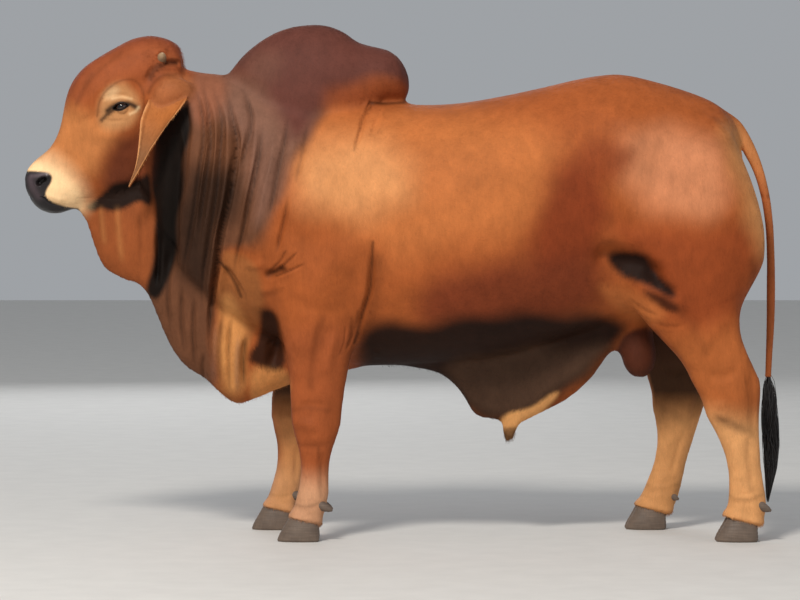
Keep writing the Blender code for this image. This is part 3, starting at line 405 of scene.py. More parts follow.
def earLeaf(side):
    # The leaf's outer and inner faces with a closed rim, and each point's place along and across it.
    steps = 12
    spine = eased([(*p, 0) for p in ear["spine"]], steps)[:, :3]
    knots = np.arange(len(ear["spine"]))
    at = np.linspace(0, len(spine) - 1, ear["along"] + 1) / steps
    middle = np.stack([np.interp(at * steps, np.arange(len(spine)), spine[:, i]) for i in range(3)], 1)
    halves = np.interp(at, knots, ear["halfBreadth"])
    turns = np.radians(np.interp(at, knots, ear["turn"]))
    cups = np.interp(at, knots, ear["cup"])
    along = unit(np.gradient(middle, axis=0))
    breadth = np.stack([np.cos(turns), np.sin(turns), 0 * turns], 1)
    opening = unit(np.cross(along, breadth))
    v = np.sin(np.linspace(-np.pi / 2, np.pi / 2, ear["across"] + 1))
    sheet = middle[:, None] + breadth[:, None] * (v[None] * halves[:, None])[..., None]
    sheet += opening[:, None] * (cups[:, None] * (v * v - 0.4))[..., None]
    wall = (ear["wall"] * (1 - 0.6 * v**4))[None, :, None] * opening[:, None]
    outer = (sheet - wall / 2).reshape(-1, 3)
    inner = (sheet + wall / 2).reshape(-1, 3)
    columns, rows = ear["across"] + 1, ear["along"] + 1
    count = rows * columns
    faces = []
    for i in range(rows - 1):
        for j in range(columns - 1):
            a = i * columns + j
            faces.append((a, a + 1, a + columns + 1, a + columns))
            faces.append((count + a, count + a + columns, count + a + columns + 1, count + a + 1))
    rim = list(range(columns)) + [i * columns + columns - 1 for i in range(1, rows)]
    rim += [(rows - 1) * columns + j for j in range(columns - 2, -1, -1)]
    rim += [i * columns for i in range(rows - 2, 0, -1)]
    for a, b in zip(rim, rim[1:] + rim[:1]):
        faces.append((a, b, count + b, count + a))
    points = np.concatenate([outer, inner])
    points[:, 1] *= -side
    u = np.repeat(np.linspace(0, 1, rows), columns)
    marks = np.stack([np.tile(u, 2), np.tile(v, rows * 2), np.repeat([0.0, 1.0], count)], 1)
    return points, faces, marks


def union(body, other):
    cut = body.modifiers.new("join", "BOOLEAN")
    cut.operation = "UNION"
    cut.solver = "MANIFOLD"
    cut.object = other
    applied(body)
    bpy.data.objects.remove(other, do_unlink=True)


def refined(body, low, high):
    # Splits each face in this box in four.
    bm = bmesh.new()
    bm.from_mesh(body.data)
    low, high = np.array(low) * cm + shift, np.array(high) * cm + shift
    edges = set()
    for face in bm.faces:
        x, y, z = face.calc_center_median()
        if low[0] < x < high[0] and low[1] < y < high[1] and low[2] < z < high[2]:
            edges.update(face.edges)
    bmesh.ops.subdivide_edges(bm, edges=list(edges), cuts=1, use_grid_fill=True)
    bm.to_mesh(body.data)
    bm.free()
    points = places(body.data)
    lowCm, highCm = (low - shift) / cm, (high - shift) / cm
    inside = boxed(points, lowCm, highCm)
    setPlaces(body.data, smoothed(points, edgesOf(body.data), inside * 0.5, 3))


def fleshMesh():
    shapes = [loft(p["rings"], p["upper"], p["lower"]) for p in
              (trunk, neck, hump, skull, dewlap, sheath, sheathMouth, scrotum)]
    for side in (-1, 1):
        bulge = [ring + (side * earRoot["y"],) for ring in earRoot["rings"]]
        shapes.append(loft(bulge, earRoot["upper"], earRoot["lower"]))
        shapes += [loft(limbRings(p, side), p["upper"], p["lower"]) for p in (foreleg, hindleg)]
    body = joined("hide", shapes)
    remeshed(body, skin["grain"])
    points = places(body.data)
    edges = edgesOf(body.data)
    points = smoothed(points, edges, np.full(len(points), 0.5), skin["smoothing"])
    for *box, rounds in skin["joins"]:
        points = smoothed(points, edges, 0.5 * insideBoxes(points, [box], skin["joinEdge"]), rounds)
    setPlaces(body.data, points)
    return body


# Strokes: the path seen from the side, front or above, its lift, and its half breadth.
neckFolds = [
    ([(-67, 148), (-64, 139), (-63, 130), (-64.6, 118), (-66.6, 104), (-69, 92), (-71, 82)], -0.75, 0.75),
    ([(-64, 147.6), (-61.4, 137), (-60.6, 128), (-62, 116), (-63.8, 104), (-65.6, 92)], -0.8, 0.75),
    ([(-60.6, 146), (-57.4, 136), (-57.6, 124), (-58.4, 114), (-61.4, 96), (-63.6, 84), (-64.4, 70)], -0.9, 0.8),
    ([(-56.6, 147), (-54, 137), (-52.4, 128), (-53.4, 118), (-55, 108), (-57.4, 98), (-58.8, 88), (-61, 76),
      (-61.6, 64), (-60.4, 52)], -1.9, 0.75),
    ([(-50.6, 145), (-47.6, 136), (-49, 126), (-51.4, 118)], -0.8, 0.8),
    ([(-44, 134), (-44.6, 125), (-46.4, 115), (-48, 108), (-50.2, 99), (-52, 92), (-53.4, 84)], -1.1, 0.8),
    ([(-35.6, 137), (-37, 127), (-39, 117), (-40.8, 108), (-42, 103)], -0.8, 0.75),
    ([(-35.4, 111), (-36.6, 104), (-38.2, 97), (-39.4, 92)], -0.7, 0.7),
    ([(-29.6, 134), (-31.2, 124), (-33.4, 114)], -0.4, 0.8),
    ([(-70, 138), (-68.6, 128), (-69.4, 116), (-71.6, 104)], -0.5, 0.8),
    ([(-71, 133), (-71.6, 124), (-73, 112), (-74, 100), (-75, 88), (-78.4, 77)], -2.2, 2.0),
    ([(-69.2, 141), (-67.8, 132), (-68.4, 124)], -0.5, 0.7),
]
neckRidges = [
    ([(-65.6, 147), (-62.6, 138), (-61.8, 128), (-63.4, 115), (-65.4, 100), (-67.4, 86)], 0.5, 0.9),
    ([(-62.4, 146), (-59.4, 136), (-59, 126), (-60.4, 112), (-62.8, 98), (-64.6, 84)], 0.5, 0.9),
    ([(-58.4, 146), (-55.6, 135), (-55, 124), (-56, 112), (-59, 96), (-61.4, 82), (-63, 66)], 0.9, 1.1),
    ([(-53.6, 143), (-50.4, 132), (-50.6, 122), (-52.4, 110), (-55, 98), (-57, 86), (-58, 72), (-57.6, 56)], 1.1, 1.5),
    ([(-46.4, 136), (-46.4, 124), (-48.6, 112), (-51.4, 98)], 0.8, 1.4),
    ([(-40, 136), (-41, 122), (-43.6, 110), (-46, 98), (-48, 88)], 0.8, 1.5),
    ([(-33, 133), (-35, 121), (-37.6, 110)], 0.5, 1.5),
]
dewlapFolds = [
    ([(-97, 108), (-96.4, 100), (-95.6, 94)], 0.3, 0.9),
    ([(-91.6, 108), (-91, 98), (-90, 88)], 0.35, 1),
    ([(-84.6, 106), (-84, 96), (-84.6, 86)], -0.3, 0.9),
    ([(-78.6, 102), (-78, 90), (-79.4, 80)], -1.3, 0.9),
    ([(-75, 88), (-75.4, 76), (-74.6, 66)], -0.5, 0.75),
    ([(-70.6, 82), (-71, 70), (-70, 59)], -0.6, 0.75),
    ([(-66.6, 78), (-67.2, 66), (-66.6, 54)], -0.7, 0.75),
    ([(-63.6, 60), (-64.2, 54), (-63.6, 49)], -0.5, 0.75),
    ([(-57.2, 74), (-58.4, 60), (-58.2, 47)], -0.5, 0.75),
    ([(-54.4, 72), (-55.4, 60), (-55.2, 46)], -0.7, 0.75),
    ([(-49.6, 66), (-50.6, 57), (-50.4, 47)], -1.2, 0.8),
    ([(-52, 66), (-52.8, 56), (-52.6, 46)], 0.5, 1.0),
    ([(-59.6, 70), (-60, 58), (-60, 48)], 0.5, 1.2),
]
muscles = [
    ([(-22, 128), (-28, 112), (-36, 98)], 1.5, 7.0),
    ([(-12, 96), (-20, 88), (-26, 80)], 1.3, 6.0),
    ([(-8.6, 98), (-9, 88), (-9.8, 79.6), (-11.8, 73.3), (-14.6, 63.7)], -1.3, 0.9),
    ([(-10.6, 90), (-11.4, 80), (-13.6, 70)], 0.5, 1.2),
    ([(-44, 84.6), (-40, 86), (-36.6, 88)], -1.5, 1.3),
    ([(-41.6, 86.6), (-38, 90), (-36.4, 93)], -0.5, 0.45),
    ([(-40, 86.4), (-36, 89.4), (-33, 92.4)], -0.55, 0.45),
    ([(-39.4, 85), (-34.6, 87), (-30.6, 89)], -0.5, 0.45),
    ([(-46, 80), (-41, 80.6), (-36, 83)], 0.7, 1.6),
    ([(-50, 89), (-46, 88), (-42, 89.6)], 0.6, 1.4),
    ([(-57.4, 89.4), (-54.6, 85.4), (-52, 81), (-49.6, 76)], -1.0, 0.9),
    ([(-9, 142), (-11.4, 137), (-13, 130), (-15, 125)], -1.0, 0.7),
    ([(-44.6, 76), (-41.2, 68), (-40.4, 60), (-42.6, 53)], -2.4, 2.0),
    ([(-36, 81), (-31, 76), (-24, 73.6), (-18, 74.4)], -0.5, 2.2),
    ([(-26, 108), (-20, 104), (-14, 104)], 0.5, 4.0),
    ([(-6, 139), (-7.6, 134), (-9.6, 129)], -0.5, 0.8),
    ([(72, 134), (74, 128)], 1.2, 5.0),
    ([(96, 126), (102, 118), (106, 106)], 1.0, 6.0),
    ([(66, 91), (70, 89.6), (76, 88.6), (80, 86)], -3.4, 3.8),
    ([(64, 97), (71, 97), (79, 95)], 0.8, 3.0),
    ([(79, 86), (82.5, 82.5), (86, 80)], -1.3, 2.4),
    ([(81, 77), (84, 74)], -0.7, 1.6),
    ([(100, 134), (105, 130)], 0.9, 2.4),
    ([(97, 54), (103, 53), (109, 56)], -0.6, 1.6),
    ([(98, 66), (102, 70)], 0.8, 3.0),
    ([(106, 70), (110, 60), (113, 50)], 0.5, 1.6),
    ([(108, 66), (110.4, 56), (112, 46)], -0.5, 1.0),
    ([(-28, 72), (-30, 64)], 0.9, 4.0),
    ([(-22, 70), (-25, 58)], -0.5, 1.6),
    ([(-33.4, 38), (-28.6, 37)], 0.7, 2.2),
    ([(-34, 43.4), (-28, 44), (-22, 43)], -0.4, 1.3),
    ([(-33, 31), (-28, 30.4), (-23, 31.6)], -0.35, 1.2),
    ([(-30, 28), (-29, 20)], 0.3, 1.4),
    ([(-26, 30), (-25.4, 22), (-25.4, 15)], -0.6, 0.8),
    ([(-24.5, 72), (-27, 61), (-28.4, 50)], -0.6, 1.3),
    ([(-33, 68), (-33.6, 58), (-32.6, 50)], 0.6, 2.2),
    ([(-21, 68), (-22.6, 59), (-23.6, 52)], 0.7, 1.8),
    ([(111, 56), (112.2, 45), (112, 34)], -0.8, 1.1),
    ([(102, 46), (103.4, 38)], 0.7, 2.0),
    ([(110.4, 33), (111.2, 24), (112, 17)], -0.6, 0.8),
    ([(106.6, 32), (107.4, 22)], 0.35, 1.3),
    ([(87, 76), (94, 70), (98, 62)], -0.7, 1.8),
    ([(84, 66), (90, 60), (95, 54)], 0.6, 2.0),
    ([(104, 84), (106, 74), (109, 64)], 0.8, 2.6),
    ([(-7.4, 60), (-7.2, 58.6)], 0.5, 0.8),
]
elbowFolds = [
    ([(-14.6, 72), (-15, 66), (-17.4, 60)], -0.5, 0.45),
    ([(-17, 70), (-17.4, 64), (-19.4, 58.6)], -0.35, 0.4),
    ([(-12.4, 74), (-12.6, 68), (-14.4, 62)], -0.4, 0.45),
    ([(-35, 11), (-30, 10.4), (-25, 12)], -0.25, 0.45),
    ([(-35.4, 9), (-30, 8.6), (-25.4, 9.6)], -0.2, 0.4),
    ([(105, 13), (110, 12.4), (115, 14)], -0.25, 0.45),
    ([(104.6, 16.4), (110, 15.6), (115.6, 17.4)], -0.2, 0.4),
    ([(104.6, 20), (109, 19.2), (113, 20.4)], -0.15, 0.4),
    ([(72, 78), (77, 74), (84, 71.6)], -0.4, 0.7),
    ([(80, 70), (86, 68.6), (92, 70)], -0.3, 0.6),
]
rearFolds = [
    ([(4, 128), (5, 118), (5.6, 108)], 0.9, 2.6, "front"),
    ([(9, 140), (12, 136)], 0.8, 2.6, "front"),
]
faceForms = [
    ([(-101, 138), (-98.4, 143.2), (-94, 146), (-89, 146.4), (-83, 144)], 0.5, 1.6),
    ([(-97, 139), (-95, 141.6), (-91.6, 142.8), (-87.6, 142.4), (-85, 140.6)], -0.25, 0.7),
    ([(-98, 136.2), (-103, 133.6)], -0.35, 1.6),
    ([(-84, 146), (-80, 148)], -0.8, 2.4),
    ([(-99, 131.6), (-94, 129.6), (-88, 130)], 0.55, 1.9),
    ([(-96.4, 135.4), (-92.6, 134.4), (-87.6, 135)], -0.2, 0.6),
    ([(-98, 115), (-90, 116), (-84, 120)], 0.7, 2.6),
    ([(-103, 125), (-97, 124), (-91, 125)], 0.35, 2.6),
    ([(-110, 121), (-106, 117), (-101, 114)], -0.25, 1.6),
    ([(-76.4, 153.2), (-73.6, 153.4), (-70, 153)], -1.6, 0.8),
    ([(-79.4, 155.6), (-76.6, 157.4), (-74.4, 157)], 0.5, 1.2),
    ([(-82, 147), (-80.4, 150), (-79, 152.6)], -0.5, 0.7),
    ([(-117.6, 113.4), (-116.4, 115.4), (-114.2, 116.4)], 0.35, 1.3),
    ([(-117.2, 113.6), (-116.2, 115.2), (-114, 116.2)], -1.9, 0.62),
    ([(-117, 109.8), (-115.6, 109.6), (-114, 108.3), (-109.8, 107.3), (-105.4, 107.4)], -0.6, 0.35),
    ([(-115.6, 111.4), (-112, 109.6), (-107, 109)], 0.3, 0.9),
    ([(-115, 105.8), (-110.6, 105), (-107, 105.4)], 0.35, 0.9),
    ([(0, 110.4), (2.4, 109.6), (5, 109.4)], -0.6, 0.35, "front"),
    ([(0, 112), (0, 117.6)], -0.3, 0.3, "front"),
    ([(3.4, 113), (3.8, 116)], -0.7, 0.6, "front"),
    ([(6.4, 154), (8.6, 148)], 0.5, 2.0, "front"),
    ([(-104.6, 139), (-100.6, 147), (-95.4, 152)], -0.3, 1.2),
    ([(-92, 124), (-86, 126), (-82, 130)], -0.3, 2.0),
]


def values(mesh, name, size=1):
    field = {1: "value", 3: "vector", 4: "color"}[size]
    flat = np.empty(len(mesh.vertices) * size)
    mesh.attributes[name].data.foreach_get(field, flat)
    return flat if size == 1 else flat.reshape(-1, size)


def setValues(mesh, name, numbers):
    numbers = np.asarray(numbers, float)
    size = 1 if numbers.ndim == 1 else numbers.shape[1]
    kind, field = {1: ("FLOAT", "value"), 3: ("FLOAT_VECTOR", "vector"), 4: ("FLOAT_COLOR", "color")}[size]
    layer = mesh.attributes.get(name) or mesh.attributes.new(name, kind, "POINT")
    layer.data.foreach_set(field, numbers.ravel())


def onShape(points, shape, reach=0.02):
    # For each point, the number of the shape's point that it stands on, or -1.
    tree = KDTree(len(shape))
    for i, point in enumerate(shape):
        tree.insert(point, i)
    tree.balance()
    found = np.full(len(points), -1)
    inside = boxed(points, shape.min(axis=0) - reach, shape.max(axis=0) + reach)
    for i in np.flatnonzero(inside):
        _, number, apart = tree.find(points[i])
        if apart < reach:
            found[i] = number
    return found


def withEarsAndTail(body):
    tailShape = loft(tail["rings"], tail["upper"], tail["lower"], steps=10, sides=24)
    leaves = [earLeaf(side) for side in (-1, 1)]
    union(body, newObject("tail", *tailShape))
    for points, faces, _ in leaves:
        union(body, newObject("leaf", points, faces))
    points, edges = places(body.data), edgesOf(body.data)
    marks = np.zeros((len(points), 3))
    onLeaf, onTail = np.zeros(len(points)), (onShape(points, tailShape[0]) >= 0) * 1.0
    for leafPoints, _, leafMarks in leaves:
        found = onShape(points, leafPoints)
        marks[found >= 0] = leafMarks[found[found >= 0]]
        onLeaf[found >= 0] = 1
    for on, reach, rounds in ((onLeaf, 16, 60), (onTail, 8, 24)):
        spread = smoothed(on[:, None], edges, np.ones(len(points)), reach)[:, 0]
        points = smoothed(points, edges, 2 * spread * (1 - spread), rounds)
    setPlaces(body.data, points)
    setValues(body.data, "leaf", marks)
    setValues(body.data, "onLeaf", onLeaf)
    setValues(body.data, "onTail", onTail)


lids = {
    "halfLength": 2.4,
    "above": 1.05,
    "below": 0.95,
    "radius": 2.8,
    "reach": 4.4,
    "depth": 1.9,
    "blend": 0.09,      # how softly the lids run into the face
    "rim": 0.1,         # the lift of the rim, and its breadth
    "rimBreadth": 0.14,
    "edge": 0.16,       # over how much the skin sinks inside the slit
}


def eyeAxes(side):
    # The middle of the eyeball, and the ways along the slit, up across it, and out.
    out = np.array([-0.2, side * 0.97, 0.1])
    out /= np.linalg.norm(out)
    along = np.array([0.97, 0.0, 0.235])
    along -= out * (along @ out)
    along /= np.linalg.norm(along)
    up = np.cross(out, along)
    up *= np.sign(up[2])
    return np.array([socket["x"], side * socket["y"], socket["z"]]), np.stack([along, up, out])


def eyeOpening(points, side):
    # Which points lie round an eye, their places in its axes, and how far inside the slit they lie.
    middle, axes = eyeAxes(side)
    local = (points - middle) @ axes.T
    near = np.flatnonzero((np.hypot(local[:, 0], local[:, 1]) < lids["reach"]) & (local[:, 2] > 0))
    a, b, _ = local[near].T
    half = np.where(b > 0, lids["above"], lids["below"])
    return near, local[near], half * (1 - (a / lids["halfLength"]) ** 2) - abs(b)


def eyesOpened(mesh):
    points = places(mesh)
    for side in (-1, 1):
        near, local, inside = eyeOpening(points, side)
        apart = np.hypot(local[:, 0], local[:, 1])
        ball = np.sqrt((lids["radius"] ** 2 - apart**2).clip(0))
        skinHeight = local[:, 2]
        height = (ball + skinHeight + np.sqrt((ball - skinHeight) ** 2 + lids["blend"])) / 2
        height += lids["rim"] * np.exp(-(((inside + lids["edge"]) / lids["rimBreadth"]) ** 2))
        local[:, 2] = height - lids["depth"] * soft((inside / lids["edge"]).clip(0, 1))
        middle, axes = eyeAxes(side)
        points[near] = local @ axes + middle
    setPlaces(mesh, points)


feet = {
    "places": [(-31.0, -20.0), (-40.7, 20.0), (109.2, -20.7), (82.8, 20.7)],   # x and y
    "names": ["fore_left", "fore_right", "hind_left", "hind_right"],
    # How high the hooves reach before and behind, and the x of both.
    "front": 8.4,
    "back": 5.0,
    "between": (-5, 6),
    "reach": (15, 9.5, 12),   # how far from its middle a foot reaches, in x, y and z
    "behind": 0.6,      # how far behind the middle of the foot the middle of the leg stands
    "sole": 0.7,        # how far the skin goes on inside the hoof
    "taper": 0.45,      # how much it draws in there, and over what depth
    "taperDepth": 2.5,
    "band": 0.09,       # the swelling over the hoof: how much, how high and how broad
    "bandHeight": 0.8,
    "bandBreadth": 1.3,
    "square": 3.2,      # how far from the hoof its square corners are felt
}


def coronet(forward):
    # How high the hoof reaches, by the distance from the middle of the foot.
    return np.interp(forward, feet["between"], [feet["front"], feet["back"]])


def feetEnded(mesh):
    # The skin ends at the hooves in a flat sole that they hide.
    points = places(mesh)
    for x, y in feet["places"]:
        near = np.flatnonzero((abs(points - (x, y, 0)) < feet["reach"]).all(axis=1))
        part = points[near]
        edge = coronet(part[:, 0] - x)
        below = (edge - part[:, 2]).clip(0)
        part[:, 2] += below - feet["sole"] * np.tanh(below / feet["sole"])
        band = feet["band"] * np.exp(-(((part[:, 2] - edge - feet["bandHeight"]) / feet["bandBreadth"]) ** 2))
        close = (1 + band) * (1 - feet["taper"] * (below / feet["taperDepth"]).clip(0, 1))
        middle = np.array([x + feet["behind"], y])
        across = part[:, :2] - middle
        # The leg is round and the hooves are square, so the corners go out towards them.
        square = np.linalg.norm(across, axis=1) / (np.linalg.norm(across, ord=3, axis=1) + 1e-9)
        close *= 1 + (square - 1) * np.exp(-(((part[:, 2] - edge) / feet["square"]) ** 2))
        part[:, :2] = middle + across * close[:, None]
        points[near] = part
    setPlaces(mesh, points)


def finished(body):
    refined(body, *skin["finer"][0])
    withEarsAndTail(body)
    for group in (muscles, elbowFolds, rearFolds):
        modelled(body.data, group)
    for group in (neckRidges, neckFolds, dewlapFolds):
        modelled(body.data, group, skin["relief"])
    for low, high in skin["finer"][1:]:
        refined(body, low, high)
    modelled(body.data, faceForms)
    eyesOpened(body.data)
    feetEnded(body.data)
    thin = values(body.data, "onLeaf")
    setPlaces(body.data, places(body.data) - normals(body.data) * (skin["coatDepth"] * (1 - thin))[:, None])
    body.data.materials.clear()
    body.data.shade_smooth()
    return body


def linear(colour):
    share = np.array(colour, float) / 255
    return np.where(share <= 0.04045, share / 12.92, ((share + 0.055) / 1.055) ** 2.4)


# Coat colours, and the colours of the painted highlights and painted shade that the marks below lay on the coat.
coatColours = {
    "base": (164, 86, 42), "lit": (188, 110, 58), "shoulderHighlight": (212, 146, 92), "neck": (56, 36, 25),
    "neckLow": (108, 68, 46), "neckLit": (126, 88, 71), "neckTop": (140, 86, 62), "hump": (97, 55, 46),
    "humpLow": (134, 66, 36), "low": (122, 55, 31), "hock": (226, 164, 106), "bellyShade": (30, 19, 14),
    "hipHighlight": (204, 134, 94), "red": (126, 52, 25), "thigh": (144, 66, 31), "rumpHighlight": (214, 150, 92), "hollowShadow": (20, 12, 9),
    "deepShadow": (13, 10, 8), "lobe": (158, 94, 50), "lobeLit": (214, 146, 84), "throat": (148, 79, 41),
    "sheath": (86, 62, 47), "strip": (222, 160, 98), "dark": (48, 31, 24), "forehead": (150, 78, 44),
    "face": (200, 126, 72), "cheek": (100, 48, 29), "cream": (254, 214, 162),
    "orbit": (200, 146, 96), "jawShadow": (24, 16, 12), "black": (34, 29, 31), "nose": (98, 82, 88), "inner": (196, 138, 86),
    "innerShadow": (46, 30, 22), "leg": (158, 82, 44), "fetlock": (212, 164, 126), "poll": (128, 62, 40),
    "earTop": (164, 98, 58), "earInside": (178, 106, 54), "earDeep": (134, 94, 64), "earRim": (216, 152, 98),
    "earBack": (150, 80, 42), "tail": (172, 94, 52), "scrotum": (66, 33, 25), "rim": (20, 15, 14),
}
